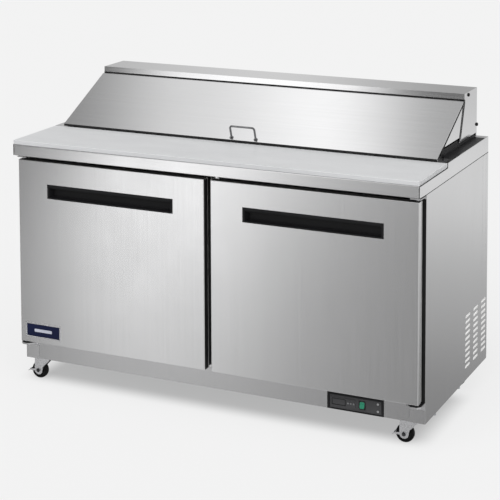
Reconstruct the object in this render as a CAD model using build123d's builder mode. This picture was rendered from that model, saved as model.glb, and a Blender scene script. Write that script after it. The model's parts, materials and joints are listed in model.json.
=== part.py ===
from build123d import *
import math
import os

os.makedirs("parts", exist_ok=True)

# Two-door refrigerated sandwich prep table on casters, in millimetres.
# +Z is up, the front faces -Y, right is +X, and the origin is on the floor under the middle.
# A "depth" is measured back from the cabinet's front plane, which lies at y = FRONT_Y.

# ---- cabinet ----
WIDTH = 1556.0                 # overall width across the deck
HALF = WIDTH / 2
BODY_DEPTH = 700.0             # cabinet front plane to back
OVERHANG = 67.5                # worktop nose in front of the cabinet
FRONT_Y = -(BODY_DEPTH - OVERHANG) / 2
SHEET = 1.2                    # stainless sheet
DECK_T = 1.5                   # deck sheet
SEAM = 0.4                     # gap on each side of a panel seam
FIT = 0.06                     # radial clearance of a pin or shaft in its hole
Z_BASE = 96.0                  # underside of the cabinet
Z_FLOOR = Z_BASE + SHEET       # underside of the base pan
Z_SKIRT = 870.5                # seam between side panel and deck skirt
Z_NOSE = 873.0                 # bottom of the worktop nose
Z_LEDGE = 912.5                # shelf the cutting board lies on
BOARD_T = 15.9
Z_DECK = Z_LEDGE + BOARD_T     # top of deck and board
BOARD_BACK = 222.0             # step between board and deck
KICK_HALF, KICK_TOP = 723.0, 172.0
COVER_X, COVER_BOT = 757.5, 350.0      # ribbed rear cover
FRAME_SIDE, FRAME_BOT, FRAME_TOP = 733.0, 197.0, 832.0
MULLION = 30.0                 # half-width of the post between the doors

# ---- storage cavity and machine bay ----
CAV_X, CAV_FLOOR, CAV_ROOF, CAV_BACK = 727.0, 200.0, 838.5, 640.0
STEP_DEPTH, STEP_Z = 425.0, 368.5      # the machine bay lies behind and below these
BAY_FRONT, BAY_TOP = 442.0, 347.0
BAY_FLOOR = 101.2              # top of the trays on the base pan
LINER_T = 1.5
PAST_FRONT, PAST_TOP = -5.0, 960.0     # overshoot of cuts

# ---- pan opening ----
RIM_X, RIM_FRONT, RIM_BACK = 726.0, 256.0, 610.0
PAN_COLS, PAN_PITCH, PAN_W, PAN_D, PAN_DEPTH = 8, 180.0, 176.0, 162.0, 100.0
PAN_ROWS = (344.0, 524.0)      # row centre depths

# ---- hood and lid ----
HOOD_X, HOOD_FRONT, HOOD_BACK = 740.0, 528.0, 678.0
HOOD_TOP, HOOD_LIP, HOOD_BOT = 1111.3, 1086.4, 945.0
HOOD_FOOT = Z_DECK + 0.6
HINGE_DEPTH, HINGE_Z = 520.0, 1082.5
LID_SLOPE = math.radians(26.5)
LID_COS, LID_SIN = math.cos(LID_SLOPE), math.sin(LID_SLOPE)
LID_LEN = 330.7
LID_OFF = 4.0                  # outer lid surface above the hinge line
LID_UNDER = LID_OFF - SHEET
LID_LIP_Z = 931.6

# ---- doors ----
DOOR_OUT, DOOR_IN = 769.5, 12.6
DOOR_MID = (DOOR_OUT + DOOR_IN) / 2
DOOR_BOT, DOOR_TOP = 174.5, 854.0
DOOR_FRONT, DOOR_BACK = -47.7, -20.0
PIVOT_X, PIVOT_DEPTH, PIVOT_R = 757.0, -30.0, 4.0
GRIP_W, GRIP_BOT, GRIP_TOP = 510.0, 720.8, 770.4

CUT = Mode.SUBTRACT
RIGHT, LEFT = 1, -1
SIDES = (RIGHT, LEFT)


# =====================================================================
# helpers
# =====================================================================
def block(x0, x1, depth0, depth1, z0, z1, mode=Mode.ADD):
    """A box between limits."""
    xs, depths, zs = sorted((x0, x1)), sorted((depth0, depth1)), sorted((z0, z1))
    with Locations((sum(xs) / 2, FRONT_Y + sum(depths) / 2, sum(zs) / 2)):
        Box(xs[1] - xs[0], depths[1] - depths[0], zs[1] - zs[0], mode=mode)


def cut(*limits):
    """Remove a box between limits."""
    block(*limits, mode=CUT)


def blocks(table):
    """Boxes from rows of x0, x1, depth0, depth1, z0, z1."""
    for limits in table:
        block(*limits)


def rod(axis, radius, x, depth, z, length, mode=Mode.ADD):
    """A cylinder along axis, centred on the point."""
    turn = {"X": (0, 90, 0), "Y": (90, 0, 0), "Z": (0, 0, 0)}[axis]
    with Locations(Location((x, FRONT_Y + depth, z), turn)):
        Cylinder(radius, length, mode=mode)


def post(radius, x, depth, z0, z1):
    """An upright cylinder between two heights."""
    rod("Z", radius, x, depth, (z0 + z1) / 2, z1 - z0)


def prism(points, x0, x1, mode=Mode.ADD):
    """A profile of (depth, z) points, carried from x0 to x1."""
    with BuildSketch(Plane.YZ.offset(min(x0, x1))) as profile:
        with BuildLine():
            Polyline(*[(FRONT_Y + depth, z) for depth, z in points], close=True)
        make_face()
    # the sketch is passed on because it can't join the caller's builder
    extrude(profile.sketch, amount=abs(x1 - x0), mode=mode)


def front_plane(depth):
    """Upright plane at a depth, its normal toward the front."""
    return Plane.XZ.offset(-(FRONT_Y + depth))


def tube(points, radius, bend):
    """A round bar bent through points (x, depth, z)."""
    with BuildPart() as bar:
        with BuildLine() as path:
            FilletPolyline(*[(x, FRONT_Y + depth, z) for x, depth, z in points], radius=bend)
        with BuildSketch(Plane(origin=path.line @ 0, z_dir=path.line % 0)):
            Circle(radius)
        sweep()
    return bar


def save(name, builder):
    builder.part.label = name
    export_step(builder.part, f"parts/{name}.step")


# =====================================================================
# cabinet shell
# =====================================================================
def side_panel(side):
    edge = side * HALF
    with BuildPart() as panel:
        blocks((
            (side * (HALF - SHEET), edge, 0, BODY_DEPTH, Z_BASE, Z_SKIRT),
            (side * 752, edge, 0, SHEET, Z_BASE, Z_SKIRT),
            (side * KICK_HALF, edge, 0, SHEET, Z_BASE, KICK_TOP),
            (side * (HALF - 12), edge, 0, BODY_DEPTH, Z_BASE, Z_FLOOR),
            (side * (HALF - 20), edge, BODY_DEPTH - SHEET, BODY_DEPTH, COVER_BOT, Z_SKIRT),
        ))
        if side == RIGHT:
            # condenser air intake: three columns of ten obround slots
            with BuildSketch(Plane.YZ.offset(HALF - 3)):
                with Locations((FRONT_Y + 562.5, 235.7)):
                    with GridLocations(95, 20.25, 3, 10):
                        SlotOverall(56, 10)
            extrude(amount=5, mode=CUT)
    return panel


def rear_covers():
    """The grooved back and, below it, the slotted cover of the machine bay."""
    with BuildPart() as covers:
        block(-COVER_X, COVER_X, BODY_DEPTH - SHEET, BODY_DEPTH, COVER_BOT, Z_SKIRT)
        with BuildSketch(front_plane(BODY_DEPTH + 1)):
            with Locations((0, 610)):
                with GridLocations(700, 360, 2, 2):
                    Rectangle(500, 5)
        extrude(amount=1.6, mode=CUT)
        block(-COVER_X, 560, BODY_DEPTH - SHEET, BODY_DEPTH, 104, COVER_BOT - 2)
        with BuildSketch(front_plane(BODY_DEPTH + 2)):
            with Locations((100, 226)):
                with GridLocations(20, 105, 34, 2):
                    SlotOverall(85, 8, rotation=90)
        extrude(amount=5, mode=CUT)
    return covers


def base_pan():
    pan_x = 776.5
    tray_z = BAY_FLOOR - 2
    rim_top = 125
    with BuildPart() as base:
        block(-pan_x, pan_x, 22, 698.5, Z_FLOOR, Z_FLOOR + 2)
        block(-pan_x, pan_x, 22, 24, Z_FLOOR, 173)
        block(-756, 756, 696, 698, Z_FLOOR, 104)
        cut(425, 637, 20, 26, 100, 160)
        blocks((
            # condensing-unit tray
            (120, 650, 452, 690, tray_z, BAY_FLOOR),
            # condensate pan: floor, front, back and two ends
            (-330, -90, 470, 670, tray_z, BAY_FLOOR),
            (-330, -90, 470, 472, tray_z, rim_top),
            (-330, -90, 668, 670, tray_z, rim_top),
            (-330, -328, 470, 670, tray_z, rim_top),
            (-92, -90, 470, 670, tray_z, rim_top),
        ))
        # hexagonal bolts under the side flanges
        with BuildSketch(Plane.XY.offset(85)):
            with Locations((0, FRONT_Y + 253)):
                with GridLocations(2 * 770, 268, 2, 2):
                    RegularPolygon(6, 6)
        extrude(amount=10.99)
    return base


def face_frame():
    with BuildPart() as frame:
        block(-751.5, 751.5, 0, SHEET, KICK_TOP + SEAM, Z_SKIRT)
        for side in SIDES:
            cut(side * MULLION, side * FRAME_SIDE, -2, 4, FRAME_BOT, FRAME_TOP)
    return frame


def kick_panel():
    half, low, high = KICK_HALF - 0.5, Z_BASE + 1.5, KICK_TOP - SEAM
    with BuildPart() as kick:
        block(-half, half, 0, SHEET, low, high)
        block(-half, half, 0, 14, high - SHEET, high)
        block(-half, half, 0, 14, low, low + SHEET)
        cut(428.6, 633.4, -2, 20, 90, 155.9)
    return kick


# Outer limits of the liner: x0, x1, depth0, depth1, z0, z1
LINER_X, LINER_BOT, LINER_TOP = CAV_X + LINER_T, CAV_FLOOR - LINER_T, CAV_ROOF + LINER_T
DOORWAYS = (
    (MULLION + 1.5, LINER_X, 2, 52, LINER_BOT, 831.5),
    (-LINER_X, -MULLION - 1.5, 2, 52, LINER_BOT, 831.5),
)
CHAMBERS = (
    (-LINER_X, LINER_X, 50, STEP_DEPTH + LINER_T, LINER_BOT, LINER_TOP),
    (-LINER_X, LINER_X, 50, CAV_BACK + LINER_T, STEP_Z - LINER_T, LINER_TOP),
)
PAN_WELL = (-LINER_X, LINER_X, RIM_FRONT - 2, RIM_BACK + 2, CAV_ROOF - 5, 925)


def foam_insulation():
    """Foam between the outer panels and the liner."""
    with BuildPart() as foam:
        block(-774, 774, 2, 697, 174, 868)
        block(-774, 774, 2, 219, 860, 909)
        block(-774, 774, 225, 697, 860, 925)
        cut(-780, 780, BAY_FRONT, 720, 160, BAY_TOP)
        for x0, x1, _, back, low, high in DOORWAYS:
            cut(x0, x1, PAST_FRONT, back, low, high)
        for chamber in CHAMBERS:
            cut(*chamber)
        cut(*PAN_WELL[:5], PAST_TOP)
    return foam


def liner():
    """Skin of the cavity, open at the doorways and the pan well."""
    wall = LINER_T
    with BuildPart() as skin:
        blocks(DOORWAYS + CHAMBERS + (PAN_WELL,))
        for x0, x1, _, back, low, high in DOORWAYS:
            cut(x0 + wall, x1 - wall, PAST_FRONT, back + 3, low + wall, high - wall)
        for x0, x1, front, back, low, high in CHAMBERS:
            cut(x0 + wall, x1 - wall, front + wall, back - wall, low + wall, high - wall)
        x0, x1, front, back, low, _ = PAN_WELL
        cut(x0 + wall, x1 - wall, front + wall, back - wall, low - wall, PAST_TOP)
    return skin


# =====================================================================
# deck, cutting board, pans
# =====================================================================
def deck_top():
    nose_in, step_in, back_in = -OVERHANG + DECK_T, BOARD_BACK + DECK_T, BODY_DEPTH - DECK_T
    with BuildPart() as deck:
        prism([(-OVERHANG, Z_NOSE), (-OVERHANG, Z_LEDGE), (BOARD_BACK, Z_LEDGE),
               (BOARD_BACK, Z_DECK), (BODY_DEPTH, Z_DECK), (BODY_DEPTH, Z_SKIRT + SEAM),
               (0, Z_SKIRT + SEAM)], -HALF, HALF)
        nose = deck.edges().filter_by(Axis.X).group_by(Axis.Y)[0].sort_by(Axis.Z)[-1]
        fillet(nose, 2.5)
        prism([(nose_in, Z_NOSE - 5), (nose_in, Z_LEDGE - DECK_T), (step_in, Z_LEDGE - DECK_T),
               (step_in, Z_DECK - DECK_T), (back_in, Z_DECK - DECK_T), (back_in, Z_SKIRT - 5)],
              -HALF + DECK_T, HALF - DECK_T, mode=CUT)
        # nose hem, then the pan opening with its turned-down rim
        block(-HALF + 1, HALF - 1, -OVERHANG + 1, -OVERHANG + 14, Z_NOSE, Z_NOSE + DECK_T)
        block(-RIM_X, RIM_X, RIM_FRONT, RIM_BACK, 914, Z_DECK - 1)
        cut(-RIM_X + DECK_T, RIM_X - DECK_T, RIM_FRONT + DECK_T, RIM_BACK - DECK_T, 910, 940)
    return deck


def cutting_board():
    with BuildPart() as board:
        block(-HALF + 1.0, HALF - 1.0, -OVERHANG, BOARD_BACK - 0.8, Z_LEDGE, Z_DECK)
        chamfer(board.edges(), 1.4)
    return board


def pan_frame():
    """Plate with one rounded opening per pan."""
    with BuildPart() as frame:
        block(-724, 724, 258, 608, 920.5, 923.5)
        with BuildSketch(Plane.XY.offset(915)):
            with Locations((0, FRONT_Y + sum(PAN_ROWS) / 2)):
                with GridLocations(PAN_PITCH, PAN_ROWS[1] - PAN_ROWS[0], PAN_COLS, 2):
                    RectangleRounded(166, 152, 16)
        extrude(amount=12, mode=CUT)
    return frame


def food_pan():
    """One flanged pan with drafted walls, centred on the Z axis."""
    body_w, body_d, wall = PAN_W - 13, PAN_D - 13, 1.1
    with BuildPart() as pan:
        with BuildSketch(Plane.XY.offset(923.6)):
            RectangleRounded(PAN_W, PAN_D, 18)
        extrude(amount=1.4)
        with BuildSketch(Plane.XY.offset(924)):
            RectangleRounded(body_w, body_d, 18)
        extrude(amount=-PAN_DEPTH, taper=3)
        with BuildSketch(Plane.XY.offset(926)):
            RectangleRounded(body_w - 2 * wall, body_d - 2 * wall, 17)
        extrude(amount=-PAN_DEPTH - 0.6, taper=3, mode=CUT)
    return pan


def food_pans():
    pan = food_pan()
    with BuildPart() as pans:
        for row in PAN_ROWS:
            for i in range(PAN_COLS):
                with Locations(((i - (PAN_COLS - 1) / 2) * PAN_PITCH, FRONT_Y + row, 0)):
                    add(pan.part)
    return pans


def pan_collar():
    """Collar round the pan opening, low at the front where the lid lip comes down."""
    inner_x = RIM_X - DECK_T
    with BuildPart() as collar:
        prism([(238, Z_DECK), (238, 935.5), (252, 938.5), (288, 955), (666, 955), (666, Z_DECK)],
              -735, 735)
        prism([(252, 900), (252, 990), (640, 990), (640, 900)], -inner_x, inner_x, mode=CUT)
        for side in SIDES:
            block(side * 735, side * 738, 300, 660, Z_DECK, 940)
    return collar


# =====================================================================
# hood and lid
# =====================================================================
def hood_shell():
    with BuildPart() as hood:
        # top, front lip and its flange, back and its flange
        blocks((
            (-HOOD_X, HOOD_X, HOOD_FRONT, HOOD_BACK, HOOD_TOP - SHEET, HOOD_TOP),
            (-HOOD_X, HOOD_X, HOOD_FRONT, HOOD_FRONT + SHEET, HOOD_LIP, HOOD_TOP),
            (-HOOD_X, HOOD_X, HOOD_FRONT, HOOD_FRONT + 16, HOOD_LIP, HOOD_LIP + SHEET),
            (-HOOD_X, HOOD_X, HOOD_BACK - SHEET, HOOD_BACK, HOOD_FOOT, HOOD_TOP),
            (-HOOD_X, HOOD_X, HOOD_BACK, HOOD_BACK + 12, HOOD_FOOT, HOOD_FOOT + SHEET),
        ))
        flange_z = HOOD_BOT + 13
        for side in SIDES:
            prism([(472, HOOD_BOT), (520.5, 1078.2), (HOOD_FRONT, 1080), (HOOD_FRONT, HOOD_TOP),
                   (HOOD_BACK, HOOD_TOP), (HOOD_BACK, HOOD_FOOT), (668, HOOD_FOOT),
                   (668, HOOD_BOT)], side * HOOD_X, side * (HOOD_X - SHEET))
            block(side * (HOOD_X - 12), side * HOOD_X, 480, 668, flange_z, flange_z + SHEET)
    return hood


def hood_bumpers():
    """Rubber plugs on the hood sides and wall bumpers behind it."""
    base_align = (Align.CENTER, Align.CENTER, Align.MIN)
    with BuildPart() as bumpers:
        for side in SIDES:
            with Locations(Location((side * HOOD_X, FRONT_Y + 574, 1101), (0, 90 * side, 0))):
                Cone(5.5, 4.0, 3.0, align=base_align)
            with Locations(Location((side * 733, FRONT_Y + HOOD_BACK, 973), (-90, 0, 0))):
                Cone(6.5, 5.2, 14, align=base_align)
    return bumpers


def lid_point(run, off):
    """Depth and height of a point run down the lid from the hinge line and off above it."""
    return (HINGE_DEPTH - run * LID_COS - off * LID_SIN, HINGE_Z - run * LID_SIN + off * LID_COS)


def lid_slab(run0, run1, off0, off1):
    """Corners of a rectangle lying along the lid."""
    return [lid_point(run0, off0), lid_point(run1, off0),
            lid_point(run1, off1), lid_point(run0, off1)]


def mid_sheet_z(depth):
    """Height of the middle of the lid sheet at a depth."""
    off = LID_OFF - SHEET / 2
    return HINGE_Z + off / LID_COS - (HINGE_DEPTH - depth) * LID_SIN / LID_COS


def lid_panel():
    cheek_front, cheek_back, cheek_bot = 286, 508, 964
    with BuildPart() as lid:
        prism(lid_slab(0, LID_LEN, LID_OFF, LID_UNDER), -HOOD_X, HOOD_X)
        # front lip and the hem turned back from it
        tip, tip_z = lid_point(LID_LEN, LID_OFF)
        prism([(tip, tip_z), (tip, LID_LIP_Z), (tip + SHEET, LID_LIP_Z),
               (tip + SHEET, tip_z - 0.2)], -HOOD_X, HOOD_X)
        block(-HOOD_X, HOOD_X, tip, tip + 12, LID_LIP_Z, LID_LIP_Z + SHEET)
        for side in SIDES:
            prism([(cheek_front, mid_sheet_z(cheek_front)), (cheek_front, cheek_bot),
                   (467, cheek_bot), (cheek_back, 1075.5), (cheek_back, mid_sheet_z(cheek_back))],
                  side * HOOD_X, side * (HOOD_X - SHEET))
            block(side * (HOOD_X - 10), side * HOOD_X, 287, 466, cheek_bot, cheek_bot + SHEET)
    return lid


def lid_liner():
    """Inner lid tray and the two rubber rest bumpers."""
    with BuildPart() as tray:
        prism(lid_slab(30, 288, -15, LID_UNDER), -716, 716)
        prism(lid_slab(32, 286, -13.5, 10), -714, 714, mode=CUT)
        bumper_depth, bumper_z = lid_point(277, -2)
        for side in SIDES:
            rod("X", 4.2, side * 735, bumper_depth, bumper_z, 9)
    return tray


def lid_foam():
    with BuildPart() as foam:
        prism(lid_slab(32.2, 285.8, -13.3, LID_UNDER), -713.8, 713.8)
    return foam


# continuous hinge: alternate knuckles on a leaf under the hood lip and a leaf under the lid
KNUCKLE_R, HINGE_PIN_R = 2.5, 1.2
KNUCKLES, HINGE_SPAN = 9, 1440.0
KNUCKLE_L = HINGE_SPAN / KNUCKLES
KNUCKLE_GAP = 1.0


def knuckle_spans(first):
    """Start and end x of every second knuckle."""
    return [(-HINGE_SPAN / 2 + i * KNUCKLE_L + KNUCKLE_GAP / 2,
             -HINGE_SPAN / 2 + (i + 1) * KNUCKLE_L - KNUCKLE_GAP / 2)
            for i in range(first, KNUCKLES, 2)]


def knuckle(x0, x1):
    rod("X", KNUCKLE_R, (x0 + x1) / 2, HINGE_DEPTH, HINGE_Z, x1 - x0)


def lid_hinge_fixed():
    low, high = HINGE_Z - 3.9, HINGE_Z - 2.1
    leaf_t = 1.2
    with BuildPart() as hinge:
        prism([(524.5, low), (540, low), (540, HOOD_LIP), (540 - leaf_t, HOOD_LIP),
               (540 - leaf_t, low + leaf_t), (524.5, low + leaf_t)],
              -HINGE_SPAN / 2, HINGE_SPAN / 2)
        rod("X", HINGE_PIN_R, 0, HINGE_DEPTH, HINGE_Z, HINGE_SPAN)
        for x0, x1 in knuckle_spans(0):
            knuckle(x0, x1)
            block(x0, x1, HINGE_DEPTH, 526, low, high)
    return hinge


def lid_hinge_moving():
    low, high = 1.6, 2.75      # leaf faces above the hinge line
    with BuildPart() as hinge:
        for x0, x1 in knuckle_spans(1):
            prism([lid_point(0, low), lid_point(8, low), lid_point(8, high), lid_point(0, 2.4)],
                  x0, x1)
            knuckle(x0, x1)
        prism(lid_slab(5, 24, low, high), -HINGE_SPAN / 2, HINGE_SPAN / 2)
        rod("X", HINGE_PIN_R + FIT, 0, HINGE_DEPTH, HINGE_Z, HINGE_SPAN + 10, mode=CUT)
    return hinge


def lid_handle():
    """Bent-wire bail standing off the lid near its front edge, on two round feet."""
    centre_x, width, height = 8.0, 96.0, 50.0
    left_x, right_x = centre_x - width / 2, centre_x + width / 2
    foot_depth, foot_z = lid_point(319, LID_OFF)
    grip = lid_point(312, LID_OFF + height - 4)
    start = lid_point(318.9, LID_OFF + 0.7)
    with BuildPart() as handle:
        add(tube([(left_x, *start), (left_x, *grip), (right_x, *grip), (right_x, *start)],
                 3.6, 9).part)
        for x in (right_x, left_x):
            with BuildSketch(Plane(origin=(x, FRONT_Y + foot_depth, foot_z),
                                   z_dir=(0, -LID_SIN, LID_COS))):
                Circle(7.5)
            extrude(amount=1.8)
    return handle


# =====================================================================
# doors
# =====================================================================
def door_skin(side):
    wall = 1.1
    mid = side * DOOR_MID
    with BuildPart() as skin:
        block(side * DOOR_IN, side * DOOR_OUT, DOOR_FRONT, DOOR_BACK, DOOR_BOT, DOOR_TOP)
        front = skin.faces().sort_by(Axis.Y)[0]
        fillet(front.edges(), 2.6)
        cut(side * (DOOR_IN + wall), side * (DOOR_OUT - wall), DOOR_FRONT + wall, DOOR_BACK + 5,
            DOOR_BOT + wall, DOOR_TOP - wall)
        cut(mid - GRIP_W / 2, mid + GRIP_W / 2, DOOR_FRONT - 5, DOOR_FRONT + 5,
            GRIP_BOT, GRIP_TOP)
        # holes for the hinge pins
        for z in (DOOR_TOP, DOOR_BOT):
            rod("Z", PIVOT_R + FIT, side * PIVOT_X, PIVOT_DEPTH, z, 12, mode=CUT)
    return skin


def cut_pivot_wells(side):
    """Clear the inside of a door round its hinge pins."""
    for z in (DOOR_TOP, DOOR_BOT):
        rod("Z", 6, side * PIVOT_X, PIVOT_DEPTH, z, 30, mode=CUT)


def door_liner(side):
    """Inner liner with its raised dam."""
    edge = 1.6
    with BuildPart() as inner:
        block(side * (DOOR_IN + edge), side * (DOOR_OUT - edge), DOOR_BACK, DOOR_BACK + 8,
              DOOR_BOT + edge, DOOR_TOP - edge)
        block(side * 38, side * 725, DOOR_BACK + 8, 7, 205, 824)
        chamfer(inner.faces().sort_by(Axis.Y)[-1].edges(), 6)
        cut(side * 40, side * 723, DOOR_BACK - 1, 4.5, 207, 822)
        cut_pivot_wells(side)
    return inner


def door_foam(side):
    """Foam core filling the skin and the liner's dam, hollowed round the handle pocket."""
    edge = 1.2
    mid, reach = side * DOOR_MID, GRIP_W / 2 + 3
    with BuildPart() as foam:
        block(side * (DOOR_IN + edge), side * (DOOR_OUT - edge), DOOR_FRONT + edge,
              DOOR_BACK - 0.1, DOOR_BOT + edge, DOOR_TOP - edge)
        fillet(foam.faces().sort_by(Axis.Y)[0].edges(), 2.6)
        block(side * 40.2, side * 722.8, DOOR_BACK - 0.2, 4.3, 207.2, 821.8)
        cut(mid - reach, mid + reach, DOOR_FRONT - 5, DOOR_BACK - 0.6, GRIP_BOT - 2, GRIP_TOP + 2)
        cut_pivot_wells(side)
    return foam


# Gasket rings, foot, bellows and sealing face: depth0, depth1, inset from outline, ring width
GASKET_RINGS = ((-12, -8.5, 0, 14), (-8.5, -3.2, 3, 8), (-3.2, -0.7, 1, 12))


def door_gasket(side):
    """Magnetic gasket as one closed ring."""
    x0, x1, z0, z1 = 15.0, 757.3, 178.0, 850.0
    with BuildPart() as gasket:
        for front, back, inset, _ in GASKET_RINGS:
            block(side * (x0 + inset), side * (x1 - inset), front, back, z0 + inset, z1 - inset)
        for front, back, inset, width in GASKET_RINGS:
            inner = inset + width
            cut(side * (x0 + inner), side * (x1 - inner), front, back, z0 + inner, z1 - inner)
    return gasket


def door_handle(side):
    """Recessed pull: flange, pocket and a finger lip along the top."""
    x0, x1 = side * DOOR_MID - GRIP_W / 2, side * DOOR_MID + GRIP_W / 2
    front, floor = DOOR_FRONT - 0.9, DOOR_BACK - 3
    with BuildPart() as handle:
        block(x0 + 0.4, x1 - 0.4, front, DOOR_BACK - 0.8, GRIP_BOT + 0.4, GRIP_TOP - 0.4)
        block(x0 - 1.5, x1 + 1.5, front, DOOR_FRONT, GRIP_BOT - 1.5, GRIP_TOP + 1.5)
        cut(x0 + 3, x1 - 3, DOOR_FRONT - 5, floor, GRIP_BOT + 3, GRIP_TOP - 3)
        # finger lip: a sloping hood across the top of the pocket
        prism([(front, GRIP_TOP - 2), (front, GRIP_TOP - 6), (DOOR_FRONT + 5, GRIP_TOP - 14),
               (DOOR_FRONT + 8, GRIP_TOP - 14), (DOOR_FRONT + 8, GRIP_TOP - 12),
               (DOOR_FRONT + 3, GRIP_TOP - 2)], x0 + 2, x1 - 2)
        # end cheeks slope into the pocket
        for end, x in ((1, x1 - 3), (-1, x0 + 3)):
            with BuildSketch(Plane.XY.offset(GRIP_BOT + 2)):
                with BuildLine():
                    Polyline((x, FRONT_Y + front), (x - end * 3, FRONT_Y + front),
                             (x - end * 12, FRONT_Y + floor), (x, FRONT_Y + floor), close=True)
                make_face()
            extrude(amount=GRIP_TOP - GRIP_BOT - 4)
    return handle


def door_badge():
    """Badge plate with a raised border, low on the left door."""
    centre = (-673, 222.5)
    width, height, thick, border = 146, 53, 1.6, 3.5
    with BuildPart() as badge:
        with BuildSketch(front_plane(DOOR_FRONT)):
            with Locations(centre):
                RectangleRounded(width, height, 3)
        extrude(amount=thick)
        with BuildSketch(front_plane(DOOR_FRONT - thick)):
            with Locations(centre):
                RectangleRounded(width - 2 * border, height - 2 * border, 2)
        extrude(amount=-0.6, mode=CUT)
    return badge


# Lower hinge plate outline: x on the right side, depth
HINGE_PLATE = ((722, 0), (722, -30), (742, -47), (764, -47), (776, -34), (776, 0))


def hinge_brackets():
    """Plates with pins: one above and one below each door."""
    with BuildPart() as brackets:
        for side in SIDES:
            block(side * 737, side * 775, -46, 0, 861.5, 865.5)
            block(side * 737, side * 775, -2.4, 0, 856, 865.5)
            post(PIVOT_R, side * PIVOT_X, PIVOT_DEPTH, 849, 862)
            post(5.5, side * PIVOT_X, PIVOT_DEPTH, 854.4, 862)
        # narrow arm with a peg above the right door's inner top corner
        block(34, 40, -36, 0, 862, 865)
        post(3.6, 37, PIVOT_DEPTH, 855, 864)
        for side in SIDES:
            with BuildSketch(Plane.XY.offset(161.5)):
                with BuildLine():
                    Polyline(*[(side * x, FRONT_Y + depth) for x, depth in HINGE_PLATE],
                             close=True)
                make_face()
            extrude(amount=6)
            block(side * 722, side * 776, -3, 0, 146, 167.5)
            post(PIVOT_R, side * PIVOT_X, PIVOT_DEPTH, 167, 180)
            post(6.5, side * PIVOT_X, PIVOT_DEPTH, 167, 174.2)
    return brackets


# =====================================================================
# inside the cavity
# =====================================================================
SHELF_Z, SHELF_WIRES = 480.0, 25
SHELF_IN, SHELF_OUT, SHELF_FRONT, SHELF_BACK = 38, 718, 36, 530
STANDARD_DEPTHS, STANDARD_TOP = (100, 470), 800


def wire_shelf(x0, x1):
    """Three cross rods under a row of wires running front to back."""
    mid_depth = (SHELF_FRONT + SHELF_BACK) / 2
    with BuildPart() as shelf:
        for depth in (SHELF_FRONT, mid_depth, SHELF_BACK):
            rod("X", 3.5, (x0 + x1) / 2, depth, SHELF_Z, x1 - x0)
        for i in range(SHELF_WIRES):
            x = x0 + 6 + i * (x1 - x0 - 12) / (SHELF_WIRES - 1)
            rod("Y", 2.4, x, mid_depth, SHELF_Z + 4.6, SHELF_BACK - SHELF_FRONT + 8)
    return shelf


def standard(x0, x1, depth):
    """Upright strip rising from the cavity floor or its step."""
    floor = CAV_FLOOR if depth < STEP_DEPTH else STEP_Z
    block(x0, x1, depth - 9, depth + 9, floor + 0.2, STANDARD_TOP)


def shelf_clip(x0, x1, depth):
    block(x0, x1, depth - 7, depth + 7, SHELF_Z - 6.5, SHELF_Z - 3.6)


def wire_shelves():
    """Two wire shelves with the standards and clips that carry them."""
    with BuildPart() as shelves:
        add(wire_shelf(SHELF_IN, SHELF_OUT).part)
        add(wire_shelf(-SHELF_OUT, -SHELF_IN).part)
        for side in SIDES:
            for depth in STANDARD_DEPTHS:
                standard(side * 724, side * CAV_X, depth)
                shelf_clip(side * 706, side * 724, depth)
                standard(side * 4, side * 6.5, depth)
                shelf_clip(side * 6.5, side * 50, depth)
        for depth in STANDARD_DEPTHS:
            standard(-4, 4, depth)
    return shelves


EVAP_X, EVAP_FRONT, EVAP_BACK, EVAP_BOT, EVAP_TOP = 260.0, 556.0, 638.5, 560.0, 800.0
EVAP_MID = (EVAP_BOT + EVAP_TOP) / 2
EVAP_FAN_Z, EVAP_SHAFT_R = 690.0, 3.0
COND_FAN_DEPTH, COND_FAN_Z, COND_SHAFT_R = 570, 222, 4.0


def evaporator_housing():
    wall = 1.5
    with BuildPart() as housing:
        block(-EVAP_X, EVAP_X, EVAP_FRONT, EVAP_BACK, EVAP_BOT, EVAP_TOP)
        cut(-EVAP_X + wall, EVAP_X - wall, EVAP_FRONT + wall, EVAP_BACK + 5,
            EVAP_BOT + wall, EVAP_TOP - wall)
        # fan opening, with a column of slots on each side
        rod("Y", 78, 0, EVAP_FRONT, EVAP_FAN_Z, 12, mode=CUT)
        with BuildSketch(front_plane(EVAP_FRONT - 3)):
            for x in (-180, 180):
                with Locations((x, EVAP_MID)):
                    with GridLocations(0.1, 18, 1, 9):
                        SlotOverall(110, 7)
        extrude(amount=-8, mode=CUT)
        # closed drip tray below
        block(-EVAP_X + 10, EVAP_X - 10, EVAP_FRONT + 4, EVAP_BACK - 4, EVAP_BOT - 16, EVAP_BOT)
        cut(-EVAP_X + 12, EVAP_X - 12, EVAP_FRONT + 6, EVAP_BACK - 6, EVAP_BOT - 14, EVAP_BOT - 2)
    return housing


def evaporator_coil():
    with BuildPart() as coil:
        block(-240, 240, 604, 634, 575, 785)
        # gaps between the fins, open to the front
        with BuildSketch(front_plane(600)):
            with Locations((0, EVAP_MID)):
                with GridLocations(12, 1, 38, 1):
                    Rectangle(8, 240)
        extrude(amount=-26, mode=CUT)
        for z in (605, 655, 705, 755):
            rod("X", 4.5, 0, 615, z, 494)
    return coil


def fan(plane, radius, hub_r, hub_len, shaft_r):
    """Five-blade axial fan about the plane's normal, on a bored hub."""
    blades, pitch, blade_t = 5, 28, 1.6
    with BuildPart(plane) as rotor:
        Cylinder(hub_r, hub_len)
        for k in range(blades):
            turn = Location((0, 0, 0), (0, 0, 360 / blades * k))
            with Locations(turn * Location(((radius + hub_r) / 2 - 2, 0, 0), (pitch, 0, 0))):
                Box(radius - hub_r + 4, radius * 0.55, blade_t)
        Cylinder(shaft_r + FIT, hub_len * 3, mode=CUT)
    return rotor


def evaporator_fan():
    plane = Plane(origin=(0, FRONT_Y + 570, EVAP_FAN_Z), x_dir=(1, 0, 0), z_dir=(0, 1, 0))
    return fan(plane, 68, 16, 18, EVAP_SHAFT_R)


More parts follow.
